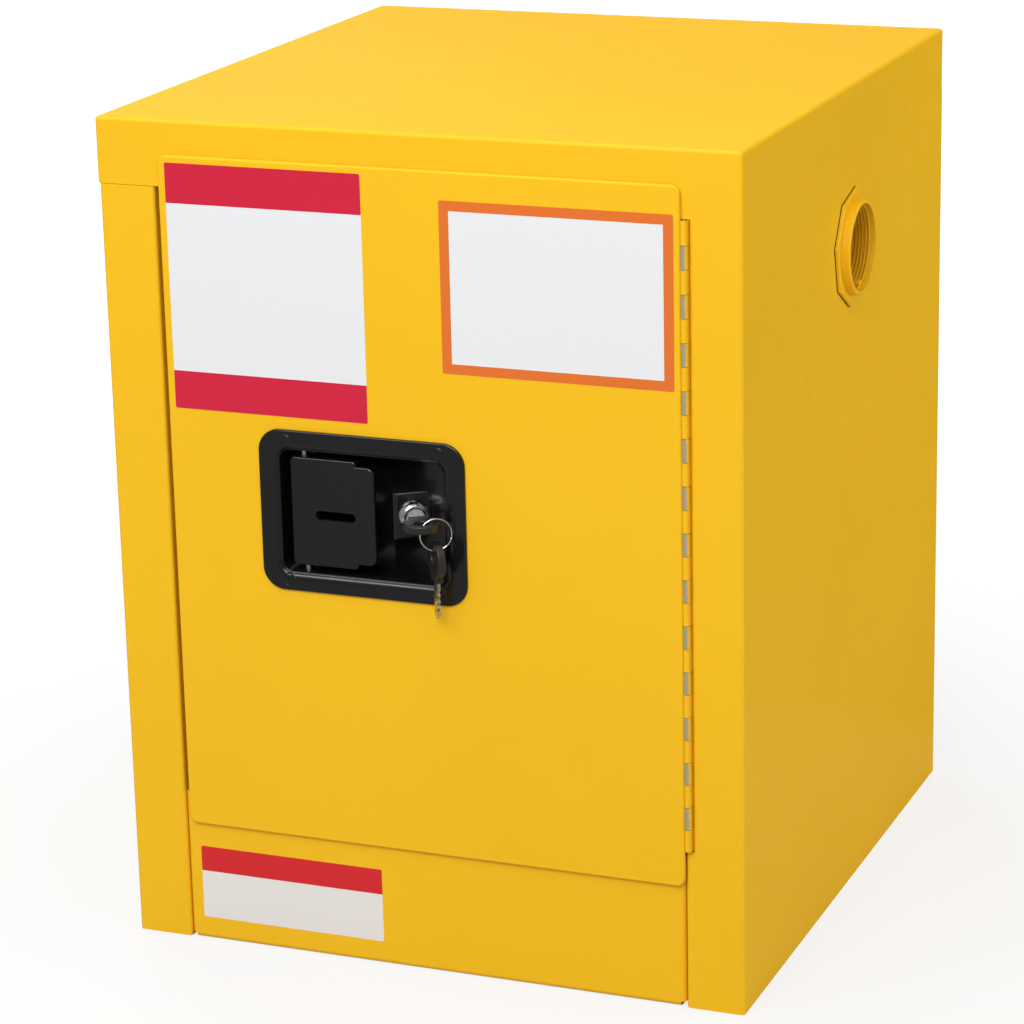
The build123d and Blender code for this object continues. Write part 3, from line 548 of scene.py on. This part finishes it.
YELLOW = PowderCoat("yellow_powder_coat", (0.935, 0.528, 0.01, 1.0), (0.905, 0.508, 0.008, 1.0))
WELDED_YELLOW = WeldedCoat("yellow_coat_over_welds", YELLOW.light, YELLOW.deep)
LINER_YELLOW = PowderCoat(
    "liner_powder_coat",
    (0.9, 0.5, 0.01, 1.0),
    (0.86, 0.47, 0.008, 1.0),
    roughness=0.52,
    peel=360.0,
    peel_depth=0.00006,
)
BLACK = PowderCoat(
    "black_powder_coat",
    (0.0045, 0.004, 0.0047, 1.0),
    (0.008, 0.0072, 0.008, 1.0),
    roughness=0.19,
    peel=900.0,
    peel_depth=0.000015,
    gloss=0.5,
)
STAMPED_BLACK = StampedCoat(
    "black_coat_over_marks",
    BLACK.light,
    BLACK.deep,
    roughness=BLACK.roughness,
    peel=BLACK.peel,
    peel_depth=BLACK.peel_depth,
    gloss=BLACK.gloss,
)
ZINC = PlatedSteel("zinc_plated_steel")
KNUCKLE_STEEL = OversprayedSteel(
    "oversprayed_hinge_steel",
    (0.6, 0.55, 0.37, 1.0),
    (0.42, 0.38, 0.25, 1.0),
    smoothest=0.34,
    roughest=0.48,
    paint=YELLOW.light,
)
UPRIGHT_STEEL = BrushedSteel(
    "bright_steel_upright",
    (0.66, 0.65, 0.62, 1.0),
    (0.36, 0.35, 0.33, 1.0),
    smoothest=0.28,
    roughest=0.44,
)
FORWARD_THREAD = ThreadedSteel("threaded_steel_rod")
CHROME = Mottled(
    "lock_chrome_plate",
    (0.88, 0.89, 0.91, 1.0),
    (0.74, 0.75, 0.77, 1.0),
    blotch=220.0,
    smoothest=0.09,
    roughest=0.21,
    cloud=500.0,
    grit=1800.0,
    metal=1.0,
    grit_detail=Octaves.ONE,
    grit_depth=0.00001,
    grit_share=0.3,
)
PLUG = replace(CHROME, name="satin_plug_plate", smoothest=0.21, roughest=0.33, metal=0.55)
KEY_METAL = Mottled(
    "worn_nickel_brass",
    (0.6, 0.58, 0.53, 1.0),
    (0.58, 0.36, 0.11, 1.0),
    blotch=170.0,
    smoothest=0.2,
    roughest=0.4,
    cloud=900.0,
    grit=1500.0,
    metal=1.0,
    blotch_range=(0.4, 0.62),
    grit_detail=Octaves.THREE,
)
KEY_HEAD = Mottled(
    "moulded_key_head",
    (0.012, 0.011, 0.011, 1.0),
    (0.022, 0.02, 0.019, 1.0),
    blotch=120.0,
    smoothest=0.3,
    roughest=0.42,
    cloud=300.0,
    grit=2400.0,
)
WIRE = WireCloth("woven_flame_screen")
# Near-black finish of the ring under the vent flanges, which is painted shade round the flange.
SHADE_RING_BLACK = Mottled(
    "painted_shade_ring_black",
    (0.022, 0.016, 0.01, 1.0),
    (0.045, 0.032, 0.016, 1.0),
    blotch=140.0,
    smoothest=0.6,
    roughest=0.75,
    cloud=400.0,
    grit=1600.0,
)


def dress(node: str, finish: Finish) -> None:
    """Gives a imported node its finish.

    Args:
        node: Name of the node.
        finish: The finish.
    """
    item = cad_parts[node]
    item.data.materials.clear()
    item.data.materials.append(finish.material())
    LOG.info("node %s: %s", node, finish.name)


def place(
    name: str, shape: bmesh.types.BMesh, body: str, slot: Slot, finish: Finish, smooth: bool = True
) -> bpy.types.Object:
    """Makes a piece of a finished shape.

    Args:
        name: Name of the piece.
        shape: Its mesh, in place, which is freed here.
        body: The body that it rides on.
        slot: The record's slot for the piece; not used.
        finish: The finish.
        smooth: True for smooth shading.

    Returns:
        The new object.
    """
    bmesh.ops.recalc_face_normals(shape, faces=shape.faces)
    mesh = bpy.data.meshes.new(name)
    shape.to_mesh(mesh)
    shape.free()
    for face in mesh.polygons:
        face.use_smooth = smooth
    item = bpy.data.objects.new(name, mesh)
    bpy.context.scene.collection.objects.link(item)
    mesh.materials.append(finish.material())
    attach(item, body)
    LOG.info("piece %s: %d faces, rides on %s", name, len(mesh.polygons), body)
    return item


def facing(way: Vector) -> Matrix:
    """Returns the turn that points the Z axis along a direction."""
    return way.to_track_quat("Z", "Y").to_matrix().to_4x4()


def grey(level: float) -> Colour:
    """Returns a grey of one level."""
    return (level, level, level, 1.0)


def coil(
    profile: Sequence[tuple[float, float]], pitch: float, turns: float, steps: int = 64
) -> bmesh.types.BMesh:
    """Winds a closed profile round the Z axis.

    Args:
        profile: Corners of the section as distance from the axis and height.
        pitch: Rise in one turn.
        turns: Number of turns.
        steps: Steps in one turn.

    Returns:
        The coil's mesh, its ends closed.
    """
    shape = bmesh.new()
    corners = [shape.verts.new((reach, 0.0, height)) for reach, height in profile]
    start = shape.faces.new(corners)
    bmesh.ops.spin(
        shape,
        geom=[start, *start.edges, *start.verts],
        cent=(0.0, 0.0, 0.0),
        axis=(0.0, 0.0, 1.0),
        dvec=(0.0, 0.0, pitch / steps),
        angle=math.tau * turns,
        steps=int(round(turns * steps)),
        use_merge=False,
    )
    bmesh.ops.remove_doubles(shape, verts=shape.verts, dist=SAME_SPOT)
    return shape


@dataclass
class Shell:
    """The outer box: cap, sides, back, base, sill and the frame round the door."""

    plain: tuple[str, ...] = (
        "top_cap",
        "left_side_panel",
        "right_side_panel",
        "base_pan",
        "sill_panel",
        "head_jamb",
        "hinge_frame_leaf",
    )
    welded: tuple[str, ...] = ("back_panel",)

    def dress(self) -> None:
        """Paints the sheets."""
        for node in self.plain:
            dress(node, YELLOW)
        for node in self.welded:
            dress(node, WELDED_YELLOW)


@dataclass
class Inside:
    """The liner, the sump, the shelf and what carries it."""

    lined: tuple[str, ...] = ("left_liner", "right_liner", "back_liner", "top_liner", "sump_tray")
    plated: tuple[str, ...] = ("tray_bearers", "shelf_standards", "shelf_clips", "shelf", "strike_plate")

    def dress(self) -> None:
        """Paints the liner and plates the fittings."""
        for node in self.lined:
            dress(node, LINER_YELLOW)
        for node in self.plated:
            dress(node, ZINC)


@dataclass
class Door:
    """The door's two skins and its piano hinge."""

    painted: tuple[str, ...] = ("door_skin", "door_inner_pan")

    def dress(self) -> None:
        """Paints the skins and finishes the hinge."""
        for node in self.painted:
            dress(node, YELLOW)
        dress("hinge_door_leaf", KNUCKLE_STEEL)
        dress("hinge_pin", UPRIGHT_STEEL)


@dataclass
class Latch:
    """The black dish and paddle, the bolt behind them and the lock."""

    plated: tuple[str, ...] = ("dish_studs", "dish_nuts", "bolt_guide", "latch_bolt", "lock_cam", "cam_screw")
    lock: Vector = field(default_factory=lambda: Vector((-4.5, -225.65, 312.5)) * MM)
    bezel: tuple[tuple[float, float], ...] = (
        (8.7 * MM, -0.05 * MM),
        (9.95 * MM, -0.05 * MM),
        (9.95 * MM, 0.6 * MM),
        (9.7 * MM, 1.0 * MM),
        (9.05 * MM, 5.5 * MM),
        (8.7 * MM, 5.9 * MM),
    )
    bezel_steps: int = 96

    def dress(self) -> None:
        """Finishes the latch and the lock."""
        dress("latch_dish", STAMPED_BLACK)
        dress("paddle", BLACK)
        dress("paddle_pin", UPRIGHT_STEEL)
        for node in self.plated:
            dress(node, ZINC)
        dress("lock_cylinder", CHROME)
        dress("lock_plug", PLUG)

    def build(self) -> None:
        """Turns the tapered bezel that the lock stands in."""
        shape = coil(self.bezel, pitch=0.0, turns=1.0, steps=self.bezel_steps)
        seat = Matrix.Translation(self.lock) @ facing(LOCK_AXIS)
        bmesh.ops.transform(shape, matrix=seat, verts=shape.verts)
        place("lock_bezel", shape, "door", Slot.CHROME, CHROME)


@dataclass
class Keys:
    """The key in the lock, the split ring and the spare key."""

    centre: Vector = field(default_factory=lambda: Vector((17.777, -242.646, 306.75)) * MM)
    radius: float = 10.3 * MM
    wire: float = 0.36 * MM
    flatten: float = 1.15
    sides: int = 10
    pitch: float = 0.7 * MM
    turns: float = 1.96
    steps: int = 72

    def dress(self) -> None:
        """Finishes the blades and heads."""
        for node in ("key_blade", "spare_key_blade"):
            dress(node, KEY_METAL)
        for node in ("key_bow", "spare_key_bow"):
            dress(node, KEY_HEAD)
        dress("key_ring", CHROME)

    def build(self) -> None:
        """Winds the split ring of two turns of flattened wire."""
        section = [
            (
                self.radius + self.wire * self.flatten * math.cos(math.tau * side / self.sides),
                self.wire * math.sin(math.tau * side / self.sides) - self.pitch * self.turns / 2,
            )
            for side in range(self.sides)
        ]
        shape = coil(section, self.pitch, self.turns, self.steps)
        hang = Matrix.Translation(self.centre) @ facing(LOCK_AXIS)
        bmesh.ops.transform(shape, matrix=hang, verts=shape.verts)
        ring = place("split_ring", shape, "key_ring", Slot.CHROME, CHROME)
        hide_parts("key_ring")


@dataclass
class Vent:
    """One vent bung with the thread and the lugs in its bore, and a black ring under its flange that is
    painted shade.
    """

    node: str
    side: str
    mouth: Vector
    inward: float
    bore: float = 29.0 * MM
    crest: float = 28.15 * MM
    pitch: float = 2.3 * MM
    turns: float = 8.0
    lead_in: float = 3.2 * MM
    root_sunk: float = 0.1 * MM
    root_half: float = 1.05 * MM
    crest_half: float = 0.3 * MM
    crest_round: float = 0.15 * MM
    stand: float = 8.2 * MM
    # Size of the black ring under the flange, which is painted shade round its edge.
    shade_ring_radius: float = 40.0 * MM
    shade_ring_thickness: float = 0.5 * MM
    shade_ring_sides: int = 8
    shade_ring_band: float = 7.0 * MM
    flange_turn: float = math.radians(36.0)
    lug: Vector = field(default_factory=lambda: Vector((5.0, 3.4, 7.0)) * MM)
    lug_depth: float = 7.5 * MM
    lug_out: float = 0.4
    lug_edge: float = 0.8 * MM
    lug_rounds: int = 3
    lug_turns: tuple[float, float] = (math.radians(78.0), math.radians(252.0))

    def build(self) -> None:
        """Builds all of the vent."""
        dress(self.node, YELLOW)
        self.wind_thread()
        self.lay_shade_ring()
        self.set_lugs()

    def set_lugs(self) -> None:
        """Sets the two lugs in the bore that a spanner turns the bung by."""
        shape = bmesh.new()
        for turn in self.lug_turns:
            middle = Matrix.Translation((self.bore - self.lug.y * self.lug_out, 0.0, 0.0))
            out = Matrix.Rotation(turn, 4, "Z") @ middle
            size = Matrix.Diagonal((self.lug.y, self.lug.x, self.lug.z, 1.0))
            made = bmesh.ops.create_cube(shape, size=1.0, matrix=self.frame_at(self.lug_depth) @ out @ size)
            edges = {edge for vert in made["verts"] for edge in vert.link_edges}
            bmesh.ops.bevel(
                shape,
                geom=list(edges),
                offset=self.lug_edge,
                segments=self.lug_rounds,
                profile=0.5,
                affect="EDGES",
                material=-1,
            )
        place(f"{self.side}_vent_lugs", shape, "cabinet", Slot.PAINT, YELLOW)

    def frame_at(self, depth: float) -> Matrix:
        """Returns the frame of a plane across the bore, its Z axis pointing into the cabinet.

        Args:
            depth: Distance of the plane from the mouth.

        Returns:
            The frame as a matrix.
        """
        axis = Vector((self.inward, 0.0, 0.0))
        return Matrix.Translation(self.mouth + axis * depth) @ facing(axis)

    def lay_shade_ring(self) -> None:
        """Lays an eight-sided black ring under the flange, as painted shade for the dark line round its edge.
        """
        shape = bmesh.new()
        bmesh.ops.create_cone(
            shape,
            cap_ends=True,
            segments=self.shade_ring_sides,
            radius1=self.shade_ring_radius,
            radius2=self.shade_ring_radius,
            depth=self.shade_ring_thickness,
        )
        spin = Matrix.Rotation(self.flange_turn * -self.inward, 4, "X")
        middle = self.frame_at(self.stand - self.shade_ring_thickness / 2)
        turn = middle.to_3x3().to_4x4()
        matrix = Matrix.Translation(middle.translation) @ spin @ turn
        bmesh.ops.transform(shape, matrix=matrix, verts=shape.verts)
        caps = [face for face in shape.faces if len(face.verts) == self.shade_ring_sides]
        bmesh.ops.inset_individual(shape, faces=caps, thickness=self.shade_ring_band)
        bmesh.ops.delete(shape, geom=caps, context="FACES")
        # This black ring is painted shade round the flange, not a real seal.
        place(f"{self.side}_vent_painted_shade_ring", shape, "cabinet", Slot.BLACK, SHADE_RING_BLACK, smooth=False)

    def wind_thread(self) -> None:
        """Winds the thread in the bore."""
        root = self.bore + self.root_sunk
        shoulder = self.crest + self.crest_round
        profile = [
            (root, -self.root_half),
            (shoulder, -self.crest_half),
            (self.crest, 0.0),
            (shoulder, self.crest_half),
            (root, self.root_half),
        ]
        shape = coil(profile, self.pitch, self.turns)
        bmesh.ops.transform(shape, matrix=self.frame_at(self.lead_in), verts=shape.verts)
        place(f"{self.side}_vent_thread", shape, "cabinet", Slot.PAINT, YELLOW)


@dataclass
class Vents:
    """Both vents with their rings and flame screens."""

    right: Vent = field(
        default_factory=lambda: Vent("vent_bung_right", "right", Vector((224.2, 2.0, 451.0)) * MM, -1.0)
    )
    left: Vent = field(
        default_factory=lambda: Vent("vent_bung_left", "left", Vector((-223.0, 2.0, 168.0)) * MM, 1.0)
    )

    def build(self) -> None:
        """Builds both vents and finishes their fittings."""
        self.right.build()
        self.left.build()
        dress("vent_rings", ZINC)
        dress("flame_screens", WIRE)


@dataclass
class Sticker:
    """One blank vinyl sticker on an upright face."""

    name: str
    body: str
    face_y: float
    low_x: float
    high_x: float
    low_z: float
    high_z: float
    finish: PrintedVinyl
    thickness: float = 0.14 * MM
    corner: float = 1.2 * MM
    corner_steps: int = 5
    sunk: float = 0.04 * MM

    def build(self) -> None:
        """Cuts the sticker with rounded corners and lays it on its face."""
        size = Vector((self.high_x - self.low_x, self.thickness, self.high_z - self.low_z))
        middle = Vector(
            (
                (self.low_x + self.high_x) / 2,
                self.face_y + self.sunk - self.thickness / 2,
                (self.low_z + self.high_z) / 2,
            )
        )
        shape = bmesh.new()
        block = Matrix.Translation(middle) @ Matrix.Diagonal((*size, 1.0))
        bmesh.ops.create_cube(shape, size=1.0, matrix=block)
        through = [e for e in shape.edges if abs((e.verts[0].co - e.verts[1].co).y) > self.thickness / 2]
        bmesh.ops.bevel(
            shape,
            geom=through,
            offset=self.corner,
            segments=self.corner_steps,
            profile=0.5,
            affect="EDGES",
            material=-1,
        )
        place(self.name, shape, self.body, Slot.PAINT, self.finish, smooth=False)


@dataclass
class Stickers:
    """The three blank stickers on the door and the sill."""

    door_y: float = -231.5 * MM
    sill_y: float = -228.5 * MM
    white: Colour = (0.81, 0.815, 0.83, 1.0)
    cream: Colour = (0.82, 0.79, 0.77, 1.0)
    crimson: Colour = (0.64, 0.016, 0.05, 1.0)
    orange: Colour = (0.77, 0.17, 0.025, 1.0)
    scarlet: Colour = (0.68, 0.02, 0.025, 1.0)
    border: float = 6.5 * MM
    tall_foot: float = 25.0 * MM
    tall_head: float = 26.0 * MM
    low_head: float = 17.6 * MM
    beyond: float = 1.0 * MM

    def tall(self) -> Sticker:
        """Returns the tall sticker at the door's upper left, with a band above and below."""
        x0, x1, z0, z1 = -166.4 * MM, -31.4 * MM, 372.0 * MM, 532.4 * MM
        vinyl = PrintedVinyl(
            "banded_vinyl",
            self.white,
            self.crimson,
            low_x=x0 - self.beyond,
            high_x=x1 + self.beyond,
            low_z=z0 + self.tall_foot,
            high_z=z1 - self.tall_head,
        )
        return Sticker("upper_left_sticker", "door", self.door_y, x0, x1, z0, z1, vinyl)

    def wide(self) -> Sticker:
        """Returns the wide sticker at the door's upper right, with a coloured frame."""
        x0, x1, z0, z1 = 20.9 * MM, 173.5 * MM, 409.0 * MM, 519.0 * MM
        vinyl = PrintedVinyl(
            "framed_vinyl",
            self.white,
            self.orange,
            low_x=x0 + self.border,
            high_x=x1 - self.border,
            low_z=z0 + self.border,
            high_z=z1 - self.border,
        )
        return Sticker("upper_right_sticker", "door", self.door_y, x0, x1, z0, z1, vinyl)

    def low(self) -> Sticker:
        """Returns the small sticker on the sill, with a band above."""
        x0, x1, z0, z1 = -165.7 * MM, -33.9 * MM, 15.9 * MM, 67.0 * MM
        vinyl = PrintedVinyl(
            "headed_vinyl",
            self.cream,
            self.scarlet,
            low_x=x0 - self.beyond,
            high_x=x1 + self.beyond,
            low_z=z0 - self.beyond,
            high_z=z1 - self.low_head,
        )
        return Sticker("sill_sticker", "cabinet", self.sill_y, x0, x1, z0, z1, vinyl)

    def build(self) -> None:
        """Lays the three stickers."""
        for sticker in (self.tall(), self.wide(), self.low()):
            sticker.build()


@dataclass
class EarthPoint:
    """The earthing stud on the back with its washer and nut."""

    def dress(self) -> None:
        """Finishes the stud and its fittings."""
        dress("earth_stud", FORWARD_THREAD)
        dress("earth_washer", ZINC)
        dress("earth_nut", ZINC)


@dataclass(frozen=True)
class Lamp:
    """One soft lamp of the studio."""

    name: str
    place: tuple[float, float, float]
    aim: tuple[float, float, float]
    size: float
    power: float
    shine: bool = True

    def light(self) -> None:
        """Hangs the lamp."""
        data = bpy.data.lights.new(self.name, "AREA")
        data.shape = "SQUARE"
        data.size = self.size
        data.energy = self.power
        item = bpy.data.objects.new(self.name, data)
        item.location = self.place
        way = Vector(self.aim) - Vector(self.place)
        item.rotation_euler = way.to_track_quat("-Z", "Y").to_euler()
        item.visible_camera = False
        item.visible_glossy = self.shine
        bpy.context.scene.collection.objects.link(item)


def furnish(name: str, shape: bmesh.types.BMesh, material: bpy.types.Material) -> bpy.types.Object:
    """Makes an object that belongs to the studio.

    Args:
        name: Name of the object.
        shape: Its mesh, in place, which is freed here.
        material: Its material.

    Returns:
        The new object.
    """
    mesh = bpy.data.meshes.new(name)
    shape.to_mesh(mesh)
    shape.free()
    mesh.materials.append(material)
    item = bpy.data.objects.new(name, mesh)
    bpy.context.scene.collection.objects.link(item)
    return item


@dataclass(frozen=True)
class Floor:
    """The pale floor, brighter to the camera and darker in reflections than to the light."""

    light: float = 0.5
    dark: float = 0.48
    mirrored: float = 0.26
    grain: float = 9.0
    glow: float = 1.16
    near: float = 0.35
    far: float = 1.3
    near_share: float = 0.66
    size: float = 8.0
    parts: int = 8

    def mix(self) -> bpy.types.Material:
        """Makes the material, which keeps the object's shadow near it and turns white further off."""
        board = Board("studio_floor")
        grain = board.tint(board.noise(self.grain, Octaves.THREE), grey(self.light), grey(self.dark))
        path = board.add("ShaderNodeLightPath").outputs
        tone = board.tint(path["Is Glossy Ray"], grain, grey(self.mirrored))
        matt = board.add("ShaderNodeBsdfDiffuse", {"Color": tone})
        glow = board.add("ShaderNodeEmission", {"Color": WHITE, "Strength": self.glow})
        share = board.ramp(board.length(board.spot), self.near_share, 1.0, self.near, self.far)
        seen = board.sums("MULTIPLY", path["Is Camera Ray"], share)
        shaders = {0: seen, 1: matt.outputs[0], 2: glow.outputs[0]}
        return board.close(board.add("ShaderNodeMixShader", shaders))

    def lay(self) -> None:
        """Lays the floor."""
        shape = bmesh.new()
        bmesh.ops.create_grid(shape, x_segments=self.parts, y_segments=self.parts, size=self.size)
        furnish("floor", shape, self.mix())


@dataclass(frozen=True)
class Card:
    """The black card behind the right side, which only reflections see."""

    dark: float = 0.004
    light: float = 0.01
    felt: float = 40.0
    place: tuple[float, float, float] = (1.72, 1.31, 1.2)
    tilt: float = math.radians(50.0)
    size: float = 1.6
    parts: int = 2

    def mix(self) -> bpy.types.Material:
        """Makes the material."""
        board = Board("black_card")
        felt = board.tint(board.noise(self.felt, Octaves.THREE), grey(self.dark), grey(self.light))
        return board.close(board.add("ShaderNodeBsdfDiffuse", {"Color": felt}))

    def lean(self) -> None:
        """Leans the card in its place."""
        shape = bmesh.new()
        stand = Matrix.Translation(self.place) @ Matrix.Rotation(self.tilt, 4, "X")
        bmesh.ops.create_grid(
            shape, x_segments=self.parts, y_segments=self.parts, size=self.size, matrix=stand
        )
        item = furnish("black_flag", shape, self.mix())
        item.visible_camera = False
        item.visible_diffuse = False
        item.visible_shadow = False


@dataclass
class Studio:
    """The floor, the card, the light and the camera."""

    floor: Floor = Floor()
    card: Card = Card()
    eye: tuple[float, float, float] = (0.8692, -2.2281, 0.9807)
    turn: tuple[float, float, float] = (73.0009, 1.2323, 21.5553)
    lens: float = 126.503
    sensor: float = 36.0
    surround: float = 0.34
    gloss: float = 0.28
    lamps: tuple[Lamp, ...] = (
        Lamp("key_softbox", (0.3, -2.3, 2.1), (0.0, -0.1, 0.4), 1.5, 46.0),
        Lamp("accent_softbox", (-1.2, -2.0, 2.3), (0.0, -0.2, 0.3), 0.7, 11.0),
        Lamp("spark_softbox", (1.3, -1.3, 2.5), (0.0, -0.2, 0.3), 0.5, 5.0),
        Lamp("side_softbox", (2.35, 0.65, 0.4), (0.2, 0.2, 0.1), 1.6, 28.0, False),
        Lamp("top_softbox", (-0.3, -0.4, 2.5), (0.0, 0.0, 0.5), 1.4, 16.5),
        Lamp("back_softbox", (-1.9, 1.9, 1.3), (0.0, 0.0, 0.28), 1.8, 42.0, False),
    )

    def surroundings(self) -> None:
        """Sets a white surround that lights the object at a plain level."""
        world = bpy.data.worlds.new("studio_surround")
        bpy.context.scene.world = world
        world.use_nodes = True
        tree = world.node_tree
        tree.nodes.clear()
        path = tree.nodes.new("ShaderNodeLightPath").outputs
        last = None
        for level, ray in ((self.surround, ""), (self.gloss, "Is Glossy Ray"), (1.0, "Is Camera Ray")):
            shade = tree.nodes.new("ShaderNodeBackground")
            shade.inputs[0].default_value = WHITE
            shade.inputs[1].default_value = level
            if last is None:
                last = shade.outputs[0]
                continue
            blend = tree.nodes.new("ShaderNodeMixShader")
            tree.links.new(path[ray], blend.inputs[0])
            tree.links.new(last, blend.inputs[1])
            tree.links.new(shade.outputs[0], blend.inputs[2])
            last = blend.outputs[0]
        output = tree.nodes.new("ShaderNodeOutputWorld")
        tree.links.new(last, output.inputs[0])

    def camera(self) -> None:
        """Sets the camera at the photograph's viewing angle."""
        data = bpy.data.cameras.new("camera")
        data.sensor_width = self.sensor
        data.lens = self.lens
        item = bpy.data.objects.new("camera", data)
        item.location = self.eye
        item.rotation_euler = tuple(math.radians(angle) for angle in self.turn)
        bpy.context.scene.collection.objects.link(item)
        bpy.context.scene.camera = item

    def build(self) -> None:
        """Builds the studio."""
        self.floor.lay()
        self.card.lean()
        self.surroundings()
        for lamp in self.lamps:
            lamp.light()
        self.camera()
        bpy.context.scene.view_settings.view_transform = "Standard"


def main() -> None:
    """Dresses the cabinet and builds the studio."""
    logging.basicConfig(level=logging.INFO, format="%(name)s: %(message)s")
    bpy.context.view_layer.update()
    Shell().dress()
    Inside().dress()
    Door().dress()
    latch = Latch()
    latch.dress()
    latch.build()
    keys = Keys()
    keys.dress()
    keys.build()
    Vents().build()
    Stickers().build()
    EarthPoint().dress()
    Studio().build()
    bpy.context.view_layer.update()


if __name__ == "__main__":
    main()
